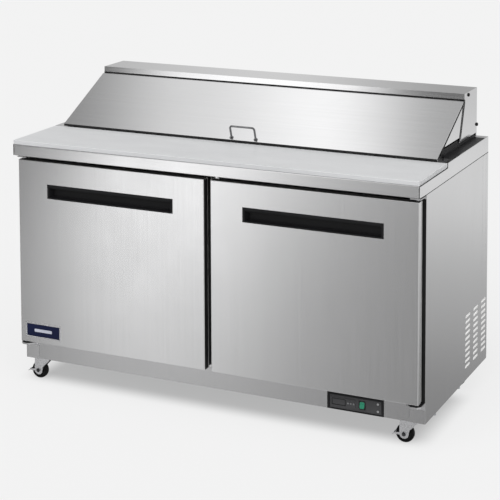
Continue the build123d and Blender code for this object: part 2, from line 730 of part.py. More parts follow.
def condenser_fan():
    plane = Plane(origin=(574, FRONT_Y + COND_FAN_DEPTH, COND_FAN_Z),
                  x_dir=(0, 1, 0), z_dir=(1, 0, 0))
    return fan(plane, 92, 20, 22, COND_SHAFT_R)


def fan_motors():
    with BuildPart() as motors:
        # evaporator fan motor on a cross strap
        rod("Y", 26, 0, 591, EVAP_FAN_Z, 20)
        rod("Y", EVAP_SHAFT_R, 0, 571, EVAP_FAN_Z, 22)
        block(-100, 100, 599.5, 601.5, EVAP_FAN_Z - 10, EVAP_FAN_Z + 10)
        # condenser fan motor on its plate foot
        rod("X", 34, 530, COND_FAN_DEPTH, COND_FAN_Z, 50)
        rod("X", COND_SHAFT_R, 566, COND_FAN_DEPTH, COND_FAN_Z, 40)
        block(515, 521, 545, 595, BAY_FLOOR, 195)
        block(500, 545, 545, 595, BAY_FLOOR, 104)
    return motors


# =====================================================================
# machine bay
# =====================================================================
COMP_X, COMP_DEPTH = 380, 572
# Compressor half section: radius, z
COMP_PROFILE = (
    (0, 112), (60, 112), (76, 124), (76, 205), (80, 205), (80, 213),
    (76, 213), (76, 262), (64, 286), (40, 300), (0, 306),
)


def compressor():
    with BuildPart() as shell:
        with BuildSketch(front_plane(COMP_DEPTH)):
            with BuildLine():
                Polyline(*[(COMP_X + radius, z) for radius, z in COMP_PROFILE], close=True)
            make_face()
        revolve(axis=Axis((COMP_X, FRONT_Y + COMP_DEPTH, 0), (0, 0, 1)))
        # base plate, four feet and a box on the right side
        block(COMP_X - 80, COMP_X + 80, COMP_DEPTH - 80, COMP_DEPTH + 80, 106, 112)
        for dx in (-72, 72):
            for dy in (-72, 72):
                rod("Z", 9, COMP_X + dx, COMP_DEPTH + dy, 103.6, 4.8)
        block(COMP_X + 72, COMP_X + 96, COMP_DEPTH - 12, COMP_DEPTH + 12, 215, 255)
    return shell


def condenser_coil():
    x, depth = 629, 573        # centre of the coil
    with BuildPart() as coil:
        block(x - 17, x + 17, depth - 111, depth + 111, 104, 334)
        with BuildSketch(Plane.XY.offset(100)):
            with Locations((x, FRONT_Y + depth)):
                with GridLocations(1, 9, 1, 23):
                    Rectangle(60, 6)
        extrude(amount=240, mode=CUT)
        for i in range(7):
            rod("Y", 4.5, x, depth, 124 + 32 * i, 232)
        # end plates
        block(x - 19, x + 19, depth - 115, depth - 111, BAY_FLOOR, 338)
        block(x - 19, x + 19, depth + 111, depth + 115, BAY_FLOOR, 338)
        # sheet fan shroud on the coil's left, with a ring round the fan
        block(604, 607, depth - 115, depth + 115, 101.4, 340)
        rod("X", 106, 590, COND_FAN_DEPTH, COND_FAN_Z, 30)
        rod("X", 103, 588, COND_FAN_DEPTH, COND_FAN_Z, 40, mode=CUT)
    return coil


# Copper lines: points (x, depth, z), tube radius, bend radius
COPPER_LINES = (
    (((380, 500, 330), (380, 470, 330), (596, 470, 330), (596, 452, 330), (660, 452, 330),
      (660, 470, 330)), 3.2, 8),
    (((660, 680, 120), (660, 693, 120), (240, 693, 120), (240, 660, 120)), 3.2, 8),
    (((240, 620, 120), (240, 560, 120), (240, 560, 345)), 2.4, 10),
    (((270, 600, 345), (270, 600, 262), (290, 600, 262)), 4.5, 10),
)


def refrigerant_lines():
    with BuildPart() as lines:
        for points, radius, bend in COPPER_LINES:
            add(tube(points, radius, bend).part)
        # filter drier in the liquid line
        rod("Y", 11, 240, 640, 120, 40)
    return lines


def power_cord():
    """Cord coiled in three turns, ending in a two-pin plug."""
    cord_r, coil_r, low = 5, 80, 106
    with BuildPart() as cord:
        for k in range(3):
            with Locations((-520, FRONT_Y + 590, low + 11 * k)):
                Torus(coil_r, cord_r)
        add(tube([(-430, 590, low), (-400, 590, low), (-400, 640, low)], cord_r, 15).part)
        block(-416, -384, 641, 680, 101, 123)
        for dx in (-7, 7):
            block(-400 + dx - 0.8, -400 + dx + 0.8, 680, 695, 109, 115)
    return cord


# =====================================================================
# controls in the kick panel
# =====================================================================
CONTROL_Z = 125                # centre height of buttons, display and switch
BUTTONS = {"set_button": 505.0, "down_button": 515.0, "up_button": 525.0}


def control_bezel():
    with BuildPart() as bezel:
        block(429, 633, -2.6, 10, 97.8, 155.6)
        cut(437.5, 624.5, -6, 14, 101.5, 148.0)
        chamfer(bezel.faces().sort_by(Axis.Y)[0].outer_wire().edges(), 1.0)
    return bezel


def control_face():
    with BuildPart() as face:
        # plate, raised module front with a display recess, button holes, switch opening
        block(437.8, 624.2, 1.0, 4.0, 101.8, 147.7)
        block(443, 531, -0.8, 1.0, 110, 140)
        cut(447, 495, -2, 0.0, 115, 135)
        for x in BUTTONS.values():
            rod("Y", 3.9, x, 1, CONTROL_Z, 12, mode=CUT)
        cut(543, 567, -4, 10, 110, 140)
        # two screw heads
        for z in (113, 138):
            with Locations(Location((612, FRONT_Y + 1.0, z), (90, 0, 0))):
                Cone(3.6, 2.6, 1.4, align=(Align.CENTER, Align.CENTER, Align.MIN))
        # switch housing and control module body behind the face
        block(541, 569, 4, 24, 108, 142)
        cut(543, 567, 3, 15, 110, 140)
        block(443, 531, 6, 20, 106, 144)
        block(443, 531, 4, 6, 106, 110)
        block(443, 531, 4, 6, 140, 144)
    return face


def push_button(x):
    with BuildPart() as button:
        rod("Y", 3.6, x, 1.1, CONTROL_Z, 6.2)
        chamfer(button.faces().sort_by(Axis.Y)[0].edges(), 0.6)
    return button


def power_switch():
    """Rocker, pressed in at the top."""
    with BuildPart() as rocker:
        prism([(2.2, 138.6), (-3.4, 112.4), (0.5, 111.4), (9, 117), (9, 133), (4.5, 139)],
              544.2, 565.8)
    return rocker


# =====================================================================
# casters
# =====================================================================
WHEEL_R, TRAIL = 32.0, 35.0
AXLE_R, STEM_R = 4.0, 5.0
CASTER_X, CASTER_FRONT, CASTER_REAR = 723.0, 62.0, 632.0
# stem x, stem depth, has a brake
CASTERS = {
    "front_left": (-CASTER_X, CASTER_FRONT, True),
    "front_right": (CASTER_X, CASTER_FRONT, True),
    "rear_left": (-CASTER_X, CASTER_REAR, False),
    "rear_right": (CASTER_X, CASTER_REAR, False),
}


def caster_plates():
    with BuildPart() as plates:
        for x, depth, _ in CASTERS.values():
            block(x - 42.5, x + 42.5, depth - 36, depth + 36, Z_FLOOR - 3.5, Z_FLOOR)
            rod("Z", 21, x, depth, 89.5, 8.4)
        for x, depth, _ in CASTERS.values():
            rod("Z", STEM_R + FIT, x, depth, 90, 40, mode=CUT)
        # hexagonal bolt heads
        for x, depth, _ in CASTERS.values():
            with BuildSketch(Plane((x, FRONT_Y + depth, Z_FLOOR - 6.0))):
                with GridLocations(70, 54, 2, 2):
                    RegularPolygon(5.5, 6)
            extrude(amount=3.0)
    return plates


def caster_fork(x, depth, brake):
    """Stem, swivel race, crown, two cheeks and the axle."""
    wheel_x = x - TRAIL
    cheek_t = 2.5
    with BuildPart() as fork:
        rod("Z", STEM_R, x, depth, 88, 15)
        rod("Z", 22, x, depth, 82.4, 5.2)
        block(wheel_x - 14, x + 10, depth - 16, depth + 16, 78.5, 81.5)
        for k in (1, -1):
            with BuildSketch(front_plane(depth + k * 14.75 + cheek_t / 2)):
                with BuildLine():
                    Polyline((wheel_x - 14, 81.5), (x + 10, 81.5), (x + 10, 72),
                             (wheel_x + 11, 28), (wheel_x + 4, 21), (wheel_x - 4, 21),
                             (wheel_x - 11, 28), close=True)
                make_face()
            extrude(amount=cheek_t)
        rod("Y", AXLE_R, wheel_x, depth, WHEEL_R, 38 if brake else 34)
    return fork


def caster_wheel(x, depth):
    wheel_x, tread_w = x - TRAIL, 22
    with BuildPart() as wheel:
        rod("Y", WHEEL_R, wheel_x, depth, WHEEL_R, tread_w)
        fillet(wheel.edges().filter_by(GeomType.CIRCLE), 5)
        for k in (1, -1):
            rod("Y", 19, wheel_x, depth + k * tread_w / 2, WHEEL_R, 5, mode=CUT)
        rod("Y", 7.5, wheel_x, depth, WHEEL_R, 25)
        rod("Y", AXLE_R + FIT, wheel_x, depth, WHEEL_R, 40, mode=CUT)
    return wheel


# Brake outlines: x from the axle, z
BRAKE_ARM = ((6, 38), (6, 26), (-4, 25), (-36, 28), (-38, 41), (-6, 40))
BRAKE_TREAD = ((-34.6, 28.5), (-50, 23), (-51, 25.5), (-36.6, 31.5), (-37.5, 41), (-35, 41))


def caster_brake(x, depth):
    """Two arms outside the fork, joined by a tread across the left end."""
    wheel_x = x - TRAIL
    arm_mid, arm_t = 17.35, 1.5
    half_width = arm_mid + arm_t / 2
    with BuildPart() as pedal:
        for k in (1, -1):
            with BuildSketch(front_plane(depth + k * arm_mid + arm_t / 2)):
                with BuildLine():
                    Polyline(*[(wheel_x + dx, z) for dx, z in BRAKE_ARM], close=True)
                make_face()
            extrude(amount=arm_t)
        rod("Y", AXLE_R + FIT, wheel_x, depth, WHEEL_R, 60, mode=CUT)
        with BuildSketch(front_plane(depth + half_width)):
            with BuildLine():
                Polyline(*[(wheel_x + dx, z) for dx, z in BRAKE_TREAD], close=True)
            make_face()
        extrude(amount=2 * half_width)
    return pedal


# =====================================================================
# build and save
# =====================================================================
# pieces made once: each file takes its function's name
for make in (
    rear_covers, base_pan, face_frame, kick_panel, foam_insulation, liner,
    deck_top, cutting_board, pan_frame, food_pans, pan_collar,
    hood_shell, hood_bumpers, lid_panel, lid_liner, lid_foam,
    lid_hinge_fixed, lid_hinge_moving, lid_handle, door_badge, hinge_brackets,
    wire_shelves, evaporator_housing, evaporator_coil, evaporator_fan, condenser_fan, fan_motors,
    compressor, condenser_coil, refrigerant_lines, power_cord,
    control_bezel, control_face, power_switch, caster_plates,
):
    save(make.__name__, make())

for side, word in ((LEFT, "left"), (RIGHT, "right")):
    for make in (side_panel, door_skin, door_liner, door_foam, door_gasket, door_handle):
        save(f"{word}_{make.__name__}", make(side))

for name, x in BUTTONS.items():
    save(name, push_button(x))

for name, (x, depth, brake) in CASTERS.items():
    save(f"caster_{name}_fork", caster_fork(x, depth, brake))
    save(f"caster_{name}_wheel", caster_wheel(x, depth))
    if brake:
        save(f"caster_{name}_brake", caster_brake(x, depth))
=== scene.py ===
import json
import math

import bmesh
import bpy
from mathutils import Matrix, Vector

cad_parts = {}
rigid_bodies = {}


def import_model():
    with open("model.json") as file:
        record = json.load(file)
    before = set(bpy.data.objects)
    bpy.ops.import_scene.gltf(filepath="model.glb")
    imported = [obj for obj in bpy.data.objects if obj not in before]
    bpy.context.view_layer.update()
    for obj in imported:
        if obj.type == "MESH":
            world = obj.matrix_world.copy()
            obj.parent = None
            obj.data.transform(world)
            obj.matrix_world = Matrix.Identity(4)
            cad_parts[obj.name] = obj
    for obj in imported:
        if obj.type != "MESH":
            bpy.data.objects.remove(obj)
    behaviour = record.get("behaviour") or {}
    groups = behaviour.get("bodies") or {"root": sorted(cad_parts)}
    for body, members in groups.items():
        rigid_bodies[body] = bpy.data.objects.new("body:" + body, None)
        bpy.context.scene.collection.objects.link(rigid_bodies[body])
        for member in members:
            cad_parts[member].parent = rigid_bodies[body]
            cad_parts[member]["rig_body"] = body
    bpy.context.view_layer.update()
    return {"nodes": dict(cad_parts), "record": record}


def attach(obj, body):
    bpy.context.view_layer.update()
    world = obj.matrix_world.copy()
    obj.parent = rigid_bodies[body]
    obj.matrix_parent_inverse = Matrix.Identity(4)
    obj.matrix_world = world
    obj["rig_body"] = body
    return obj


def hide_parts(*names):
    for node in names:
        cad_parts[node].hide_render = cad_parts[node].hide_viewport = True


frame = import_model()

N = frame["nodes"]
RECORD = frame["record"]
SLOT = {s["node"]: s["material_slot"] for s in RECORD["subparts"]}
scene = bpy.context.scene
coll = scene.collection
MM = 0.001
Y0 = -0.31625                    # the cabinet front plane
RGB = RECORD["materials"]


# ---------------------------------------------------------------- node helpers
class Net:
    """A small helper for building one material's nodes."""

    def __init__(self, name):
        self.mat = bpy.data.materials.new(name)
        self.mat.use_nodes = True
        self.t = self.mat.node_tree
        self.t.nodes.clear()
        self.out = self.add("ShaderNodeOutputMaterial")
        self.bsdf = self.add("ShaderNodeBsdfPrincipled")
        self.link(self.bsdf.outputs[0], self.out.inputs[0])
        self.obj = self.add("ShaderNodeTexCoord").outputs["Object"]

    def add(self, kind, **props):
        n = self.t.nodes.new(kind)
        for k, v in props.items():
            setattr(n, k, v)
        return n

    def link(self, a, b):
        self.t.links.new(a, b)

    def put(self, socket, value):
        if hasattr(value, "is_linked") or hasattr(value, "links"):
            self.link(value, socket)
        else:
            socket.default_value = value

    def map(self, scale, rot=(0, 0, 0), loc=(0, 0, 0), src=None):
        m = self.add("ShaderNodeMapping")
        m.inputs["Scale"].default_value = scale
        m.inputs["Rotation"].default_value = rot
        m.inputs["Location"].default_value = loc
        self.link(src or self.obj, m.inputs["Vector"])
        return m.outputs[0]

    def noise(self, vec, scale=1.0, detail=3.0, rough=0.55):
        n = self.add("ShaderNodeTexNoise")
        n.inputs["Scale"].default_value = scale
        n.inputs["Detail"].default_value = detail
        n.inputs["Roughness"].default_value = rough
        self.link(vec, n.inputs["Vector"])
        return n.outputs["Fac"]

    def remap(self, value, a, b, lo=0.0, hi=1.0, kind="LINEAR"):
        n = self.add("ShaderNodeMapRange", interpolation_type=kind)
        self.link(value, n.inputs["Value"])
        n.inputs["From Min"].default_value = a
        n.inputs["From Max"].default_value = b
        n.inputs["To Min"].default_value = lo
        n.inputs["To Max"].default_value = hi
        return n.outputs["Result"]

    def maths(self, op, a, b=0.0, c=None, clamp=False):
        n = self.add("ShaderNodeMath", operation=op)
        n.use_clamp = clamp
        self.put(n.inputs[0], a)
        self.put(n.inputs[1], b)
        if c is not None:
            self.put(n.inputs[2], c)
        return n.outputs[0]

    def mix(self, fac, a, b):
        n = self.add("ShaderNodeMix", data_type="RGBA")
        self.put(n.inputs["Factor"], fac)
        self.put(n.inputs["A"], a if hasattr(a, "links") else (*a[:3], 1.0))
        self.put(n.inputs["B"], b if hasattr(b, "links") else (*b[:3], 1.0))
        return n.outputs["Result"]

    def bump(self, height, strength=0.3, distance=0.0002, normal=None):
        n = self.add("ShaderNodeBump")
        n.inputs["Strength"].default_value = strength
        n.inputs["Distance"].default_value = distance
        self.link(height, n.inputs["Height"])
        if normal is not None:
            self.link(normal, n.inputs["Normal"])
        return n.outputs[0]

    def edges(self, radius=0.0012, lo=0.02, hi=0.25):
        """A 0 to 1 mask that is high along the piece's edges, and the rounded normal."""
        b = self.add("ShaderNodeBevel", samples=4)
        b.inputs["Radius"].default_value = radius
        g = self.add("ShaderNodeNewGeometry")
        d = self.add("ShaderNodeVectorMath", operation="DOT_PRODUCT")
        self.link(b.outputs[0], d.inputs[0])
        self.link(g.outputs["Normal"], d.inputs[1])
        one_minus = self.maths("SUBTRACT", 1.0, d.outputs["Value"])
        return self.remap(one_minus, lo, hi), b.outputs[0]

    def set(self, **values):
        for k, v in values.items():
            self.put(self.bsdf.inputs[k.replace("_", " ")], v)


def steel(name, grain="Z", tint=(0.78, 0.78, 0.785), rough=0.17, aniso=0.3, depth=0.12, streak=0.016, smudge=0.02):
    """Brushed stainless sheet: fine grain along one axis, long faint streaks, handling marks and burnished edges."""
    m = Net(name)
    fine = {"Z": (620, 620, 7), "X": (7, 620, 620), "Y": (620, 7, 620)}[grain]
    long_ = {"Z": (150, 150, 0.8), "X": (0.8, 150, 150), "Y": (150, 0.8, 150)}[grain]
    micro = m.noise(m.map(fine), 1.0, 3.0, 0.6)
    streaks = m.noise(m.map(long_, loc=(3.1, 1.7, 0.4)), 1.0, 4.0, 0.6)
    marks = m.noise(m.map((2.6, 2.6, 2.6), loc=(9, 4, 2)), 1.0, 4.0, 0.6)
    edge, _ = m.edges(0.0009)
    value = m.maths("ADD", m.remap(streaks, 0.3, 0.7, -streak, streak), m.remap(micro, 0.3, 0.7, -0.01, 0.01))
    value = m.maths("ADD", value, m.remap(marks, 0.35, 0.7, 0.008, -0.016))
    value = m.maths("ADD", 1.0, value)
    base = m.add("ShaderNodeVectorMath", operation="SCALE")
    base.inputs[0].default_value = tint
    m.link(value, base.inputs["Scale"])
    col = m.mix(m.maths("MULTIPLY", edge, 0.35), base.outputs[0], (0.92, 0.92, 0.93))
    r = m.maths("ADD", m.remap(micro, 0.3, 0.7, rough - 0.012, rough + 0.014), m.remap(marks, 0.4, 0.7, 0.0, smudge))
    tangent = m.add("ShaderNodeVectorTransform", vector_type="VECTOR", convert_from="OBJECT", convert_to="WORLD")
    tangent.inputs[0].default_value = {"Z": (0, 0, 1), "X": (1, 0, 0), "Y": (0, 1, 0)}[grain]
    m.set(Base_Color=col, Metallic=1.0, Roughness=r, Anisotropic=aniso, Normal=m.bump(streaks, depth, 0.00006))
    m.link(tangent.outputs[0], m.bsdf.inputs["Tangent"])
    return m.mat


def moulded(name, colour, rough=0.5, grain=700, depth=0.25, worn=(0.2, 0.2, 0.2), wear=0.25, vary=0.12, metal=0.0, coat=0.0, sheen=0.0, shine=None):
    """Moulded plastic, rubber or paint: fine surface texture, slow colour variation and lighter rubbed edges."""
    m = Net(name)
    tex = m.noise(m.map((grain,) * 3), 1.0, 3.0, 0.6)
    slow = m.noise(m.map((7, 7, 7), loc=(2, 5, 8)), 1.0, 4.0, 0.55)
    edge, _ = m.edges(0.0008)
    dark = tuple(c * (1 - vary) for c in colour)
    lite = tuple(min(1.0, c * (1 + vary)) for c in colour)
    col = m.mix(m.remap(slow, 0.35, 0.65), dark, lite)
    col = m.mix(m.maths("MULTIPLY", edge, wear), col, worn)
    r = m.maths("ADD", m.remap(tex, 0.3, 0.7, rough - 0.05, rough + 0.05), m.remap(slow, 0.35, 0.7, 0.0, 0.06))
    m.set(Base_Color=col, Roughness=r, Metallic=metal, Normal=m.bump(tex, depth, 0.00006), Coat_Weight=coat, Sheen_Weight=sheen)
    if shine is None:
        shine = 0.25 if max(colour) < 0.05 else 0.5
    m.bsdf.inputs["Specular IOR Level"].default_value = shine
    return m.mat


def board(name):
    """White polyethylene: low waxy sheen, faint knife marks in many directions, slow patches of slightly darker tone
    and rounded dull edges.
    """
    m = Net(name)
    cuts = None
    for i, (ang, dens) in enumerate(((0.15, 420), (1.2, 300), (-0.8, 360), (2.2, 330))):
        n = m.noise(m.map((dens, 5.5, 60), rot=(0, 0, ang), loc=(i * 3.3, i * 1.9, 0)), 1.0, 2.0, 0.5)
        line = m.remap(n, 0.66, 0.74, 0.0, 1.0)
        cuts = line if cuts is None else m.maths("MAXIMUM", cuts, line)
    patch = m.noise(m.map((4, 9, 4), loc=(1, 1, 3)), 1.0, 4.0, 0.6)
    cuts = m.maths("MULTIPLY", cuts, m.remap(patch, 0.42, 0.6, 0.05, 1.0))
    grain = m.noise(m.map((1500, 1500, 1500)), 1.0, 2.0, 0.5)
    edge, _ = m.edges(0.0012)
    col = m.mix(m.remap(patch, 0.35, 0.7), (0.728, 0.735, 0.745), (0.690, 0.697, 0.707))
    col = m.mix(m.maths("MULTIPLY", cuts, 0.10), col, (0.42, 0.42, 0.42))
    col = m.mix(m.maths("MULTIPLY", edge, 0.5), col, (0.80, 0.80, 0.80))
    h = m.maths("SUBTRACT", m.maths("MULTIPLY", grain, 0.25), cuts)
    m.set(Base_Color=col, Roughness=m.remap(patch, 0.3, 0.7, 0.36, 0.47), Normal=m.bump(h, 0.18, 0.00012),
          Subsurface_Weight=0.08)
    m.bsdf.inputs["Subsurface Radius"].default_value = (0.004, 0.004, 0.004)
    return m.mat


def galvanised(name):
    m = Net(name)
    v = m.add("ShaderNodeTexVoronoi", feature="F1")
    v.inputs["Scale"].default_value = 85
    m.link(m.obj, v.inputs["Vector"])
    sep = m.add("ShaderNodeSeparateColor")
    m.link(v.outputs["Color"], sep.inputs[0])
    cell = sep.outputs[0]
    slow = m.noise(m.map((5, 5, 5)), 1.0, 4.0, 0.6)
    edge, _ = m.edges(0.0009)
    col = m.mix(m.remap(cell, 0, 1, 0.0, 1.0), (0.50, 0.52, 0.54), (0.62, 0.64, 0.66))
    col = m.mix(m.remap(slow, 0.5, 0.8, 0.0, 0.35), col, (0.42, 0.43, 0.45))
    col = m.mix(m.maths("MULTIPLY", edge, 0.4), col, (0.8, 0.8, 0.82))
    m.set(Base_Color=col, Metallic=0.9, Roughness=m.remap(cell, 0, 1, 0.34, 0.5), Normal=m.bump(cell, 0.05, 0.0001))
    return m.mat


def foam(name):
    m = Net(name)
    v = m.add("ShaderNodeTexVoronoi", feature="F1")
    v.inputs["Scale"].default_value = 420
    m.link(m.obj, v.inputs["Vector"])
    slow = m.noise(m.map((6, 6, 6)), 1.0, 4.0, 0.6)
    col = m.mix(m.remap(slow, 0.3, 0.7), (0.72, 0.60, 0.33), (0.80, 0.70, 0.45))
    m.set(Base_Color=col, Roughness=0.95, Normal=m.bump(v.outputs["Distance"], 0.5, 0.001))
    return m.mat


def tube_metal(name, colour, rough=0.2, dull=(0.4, 0.3, 0.25)):
    """Drawn or plated round metal with handling marks."""
    m = Net(name)
    n = m.noise(m.map((45, 45, 45)), 1.0, 4.0, 0.6)
    f = m.noise(m.map((800, 800, 800)), 1.0, 2.0, 0.6)
    col = m.mix(m.remap(n, 0.45, 0.75, 0.0, 0.5), colour, dull)
    m.set(Base_Color=col, Metallic=1.0, Roughness=m.remap(n, 0.3, 0.7, rough - 0.04, rough + 0.1), Normal=m.bump(f, 0.06, 0.00003))
    return m.mat


def glow(name, colour, light, strength, centre, half):
    """A lit lens with a dark moulded border: centre and half size in the X and Z directions."""
    m = Net(name)
    n = m.noise(m.map((260, 260, 260)), 1.0, 2.0, 0.5)
    sp = m.add("ShaderNodeSeparateXYZ")
    m.link(m.obj, sp.inputs[0])
    dx = m.maths("DIVIDE", m.maths("ABSOLUTE", m.maths("SUBTRACT", sp.outputs[0], centre[0])), half[0])
    dz = m.maths("DIVIDE", m.maths("ABSOLUTE", m.maths("SUBTRACT", sp.outputs[2], centre[1])), half[1])
    r = m.maths("POWER", m.maths("ADD", m.maths("POWER", dx, 5.0), m.maths("POWER", dz, 5.0)), 0.2)
    lens = m.remap(r, 0.92, 1.0, 1.0, 0.0)
    col = m.mix(m.remap(n, 0.3, 0.7), tuple(c * 0.85 for c in colour), colour)
    col = m.mix(lens, (0.008, 0.010, 0.009), col)
    m.set(Base_Color=col, Roughness=m.remap(n, 0.3, 0.7, 0.22, 0.32), Emission_Color=(*light, 1.0),
          Emission_Strength=m.maths("MULTIPLY", lens, strength), Normal=m.bump(n, 0.05, 0.00005))
    return m.mat


MAT = {
    "stainless": steel("m_stainless", "Z", tint=(0.77, 0.77, 0.775)),
    "stainless_door": steel("m_stainless_door", "Z", tint=(0.80, 0.80, 0.805)),
    "stainless_top": steel("m_stainless_top", "X", tint=(0.80, 0.80, 0.805), rough=0.15),
    "stainless_hood": steel("m_stainless_hood", "X", tint=(0.79, 0.79, 0.795), rough=0.09, smudge=0.012),
    "pan_steel": steel("m_pan_steel", "Z", tint=(0.82, 0.82, 0.83), rough=0.20, aniso=0.2),
    "galvanised": galvanised("m_galvanised"),
    "hinge_steel": steel("m_hinge_steel", "X", tint=(0.66, 0.66, 0.67), rough=0.3, aniso=0.2),
    "chrome_wire": tube_metal("m_chrome_wire", (0.60, 0.60, 0.61), 0.10, (0.42, 0.42, 0.43)),
    "zinc": tube_metal("m_zinc", (0.86, 0.86, 0.88), 0.24, (0.72, 0.72, 0.74)),
    "aluminium_liner": steel("m_aluminium_liner", "Z", tint=(0.86, 0.87, 0.88), rough=0.36, aniso=0.2),
    "liner_white": moulded("m_liner_white", (0.74, 0.74, 0.73), 0.4, 500, 0.12, (0.9, 0.9, 0.9), 0.2, 0.04),
    "foam": foam("m_foam"),
    "black_plastic": moulded("m_black_plastic", (0.012, 0.012, 0.013), 0.42, 620, 0.2, (0.08, 0.08, 0.085), 0.3, 0.2),
    "white_plastic": moulded("m_white_plastic", (0.72, 0.73, 0.73), 0.38, 520, 0.14, (0.9, 0.9, 0.9), 0.2, 0.04),
    "handle_black": moulded("m_handle_black", (0.010, 0.010, 0.011), 0.40, 900, 0.35, (0.07, 0.07, 0.075), 0.35, 0.2),
    "gasket_black": moulded("m_gasket_black", (0.016, 0.016, 0.017), 0.55, 480, 0.15, (0.06, 0.06, 0.06), 0.3, 0.15, sheen=0.1),
    "black_rubber": moulded("m_black_rubber", (0.014, 0.014, 0.014), 0.6, 420, 0.2, (0.06, 0.06, 0.06), 0.3, 0.2),
    "wheel_black": moulded("m_wheel_black", (0.005, 0.005, 0.0055), 0.5, 380, 0.2, (0.035, 0.035, 0.035), 0.3, 0.2, shine=0.12),
    "board_white": board("m_board_white"),
    "coated_wire": moulded("m_coated_wire", (0.76, 0.77, 0.77), 0.3, 300, 0.08, (0.9, 0.9, 0.9), 0.2, 0.04, coat=0.3),
    "coil_aluminium": tube_metal("m_coil_aluminium", (0.78, 0.79, 0.80), 0.3, (0.55, 0.56, 0.57)),
    "motor_black": moulded("m_motor_black", (0.03, 0.03, 0.033), 0.35, 260, 0.12, (0.3, 0.3, 0.3), 0.3, 0.2, coat=0.2),
    "compressor_black": moulded("m_compressor_black", (0.014, 0.014, 0.016), 0.22, 160, 0.1, (0.25, 0.25, 0.26), 0.3, 0.2, coat=0.5),
    "copper": tube_metal("m_copper", (0.72, 0.36, 0.22), 0.25, (0.32, 0.17, 0.11)),
    "panel_grey": moulded("m_panel_grey", (0.062, 0.062, 0.065), 0.42, 800, 0.25, (0.15, 0.15, 0.16), 0.3, 0.15),
    "switch_green": glow("m_switch_green", (0.01, 0.16, 0.09), (0.02, 0.36, 0.20), 0.26, (0.555, 0.1255), (0.0088, 0.0112)),
    "button_grey": moulded("m_button_grey", (0.16, 0.16, 0.17), 0.4, 800, 0.15, (0.4, 0.4, 0.4), 0.35, 0.1),
    "fan_plastic": moulded("m_fan_plastic", (0.03, 0.03, 0.033), 0.35, 380, 0.12, (0.15, 0.15, 0.15), 0.3, 0.15),
    "badge_blue": moulded("m_badge_blue", (0.004, 0.008, 0.040), 0.35, 300, 0.05, (0.04, 0.05, 0.12), 0.3, 0.2),
}
MAT.update({
    # painted shade: a dark grey for strips that darken shadow gaps and the gap above the doors
    "painted_shade_grey": moulded("m_painted_shade_grey", (0.030, 0.030, 0.031), 0.55, 420, 0.12, (0.08, 0.08, 0.08), 0.2, 0.15),
    "filter_white": moulded("m_filter_white", (0.86, 0.86, 0.85), 0.8, 900, 0.35, (0.9, 0.9, 0.9), 0.1, 0.05),
    "badge_light": moulded("m_badge_light", (0.55, 0.57, 0.66), 0.3, 500, 0.08, (0.8, 0.8, 0.85), 0.3, 0.15, coat=0.3),
    "mark_white": moulded("m_mark_white", (0.30, 0.31, 0.31), 0.4, 900, 0.08, (0.8, 0.8, 0.8), 0.2, 0.05),
    "bolt_dark": tube_metal("m_bolt_dark", (0.10, 0.10, 0.105), 0.35, (0.05, 0.05, 0.05)),
    "hub_grey": moulded("m_hub_grey", (0.012, 0.012, 0.0125), 0.45, 500, 0.12, (0.06, 0.06, 0.06), 0.3, 0.12, shine=0.2),
})
# painted light: the intake filter is given a faint glow, so the air slots read bright though nothing lights them from
# behind
bright = MAT["filter_white"].node_tree.nodes["Principled BSDF"]
bright.inputs["Emission Color"].default_value = (1.0, 1.0, 0.99, 1.0)
bright.inputs["Emission Strength"].default_value = 0.20
# painted shade: the lid's bail handle takes a darkened copy of the chrome wire, so its reflections come out dark
BAIL_DARKENED_CHROME = tube_metal("m_bail_darkened", (0.22, 0.22, 0.225), 0.16, (0.13, 0.13, 0.135))
SIDE_SPECIAL = steel("m_stainless_side", "Z", tint=(0.77, 0.77, 0.775), rough=0.17)
# painted shade: the kick panel and its end plates get darker copies of the cabinet steel, standing in for the shade
# under the doors
KICK_ENDS_PAINTED_SHADE = steel("m_stainless_ends_painted_shade", "Z", tint=(0.72, 0.72, 0.725), rough=0.2)
KICK_STEEL_PAINTED_SHADE = steel("m_stainless_kick_painted_shade", "Z", tint=(0.655, 0.655, 0.66), rough=0.22)
BOARD_EDGE = MAT["board_white"]


# ---------------------------------------------------------------- mesh helpers
def finish_mesh(o, material, body, angle=35, weighted=True):
    me = o.data
    me.materials.clear()
    me.materials.append(material)
    me.polygons.foreach_set("use_smooth", [True] * len(me.polygons))
    if "custom_normal" in me.attributes:
        me.attributes.remove(me.attributes["custom_normal"])
    me.set_sharp_from_angle(angle=math.radians(angle))
    me.update()
    if weighted:
        w = o.modifiers.new("weighted", "WEIGHTED_NORMAL")
        w.keep_sharp = True
        w.weight = 60
    if o.name not in coll.objects:
        coll.objects.link(o)
    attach(o, body)
    return o


def body_of_node(node):
    return N[node]["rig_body"]


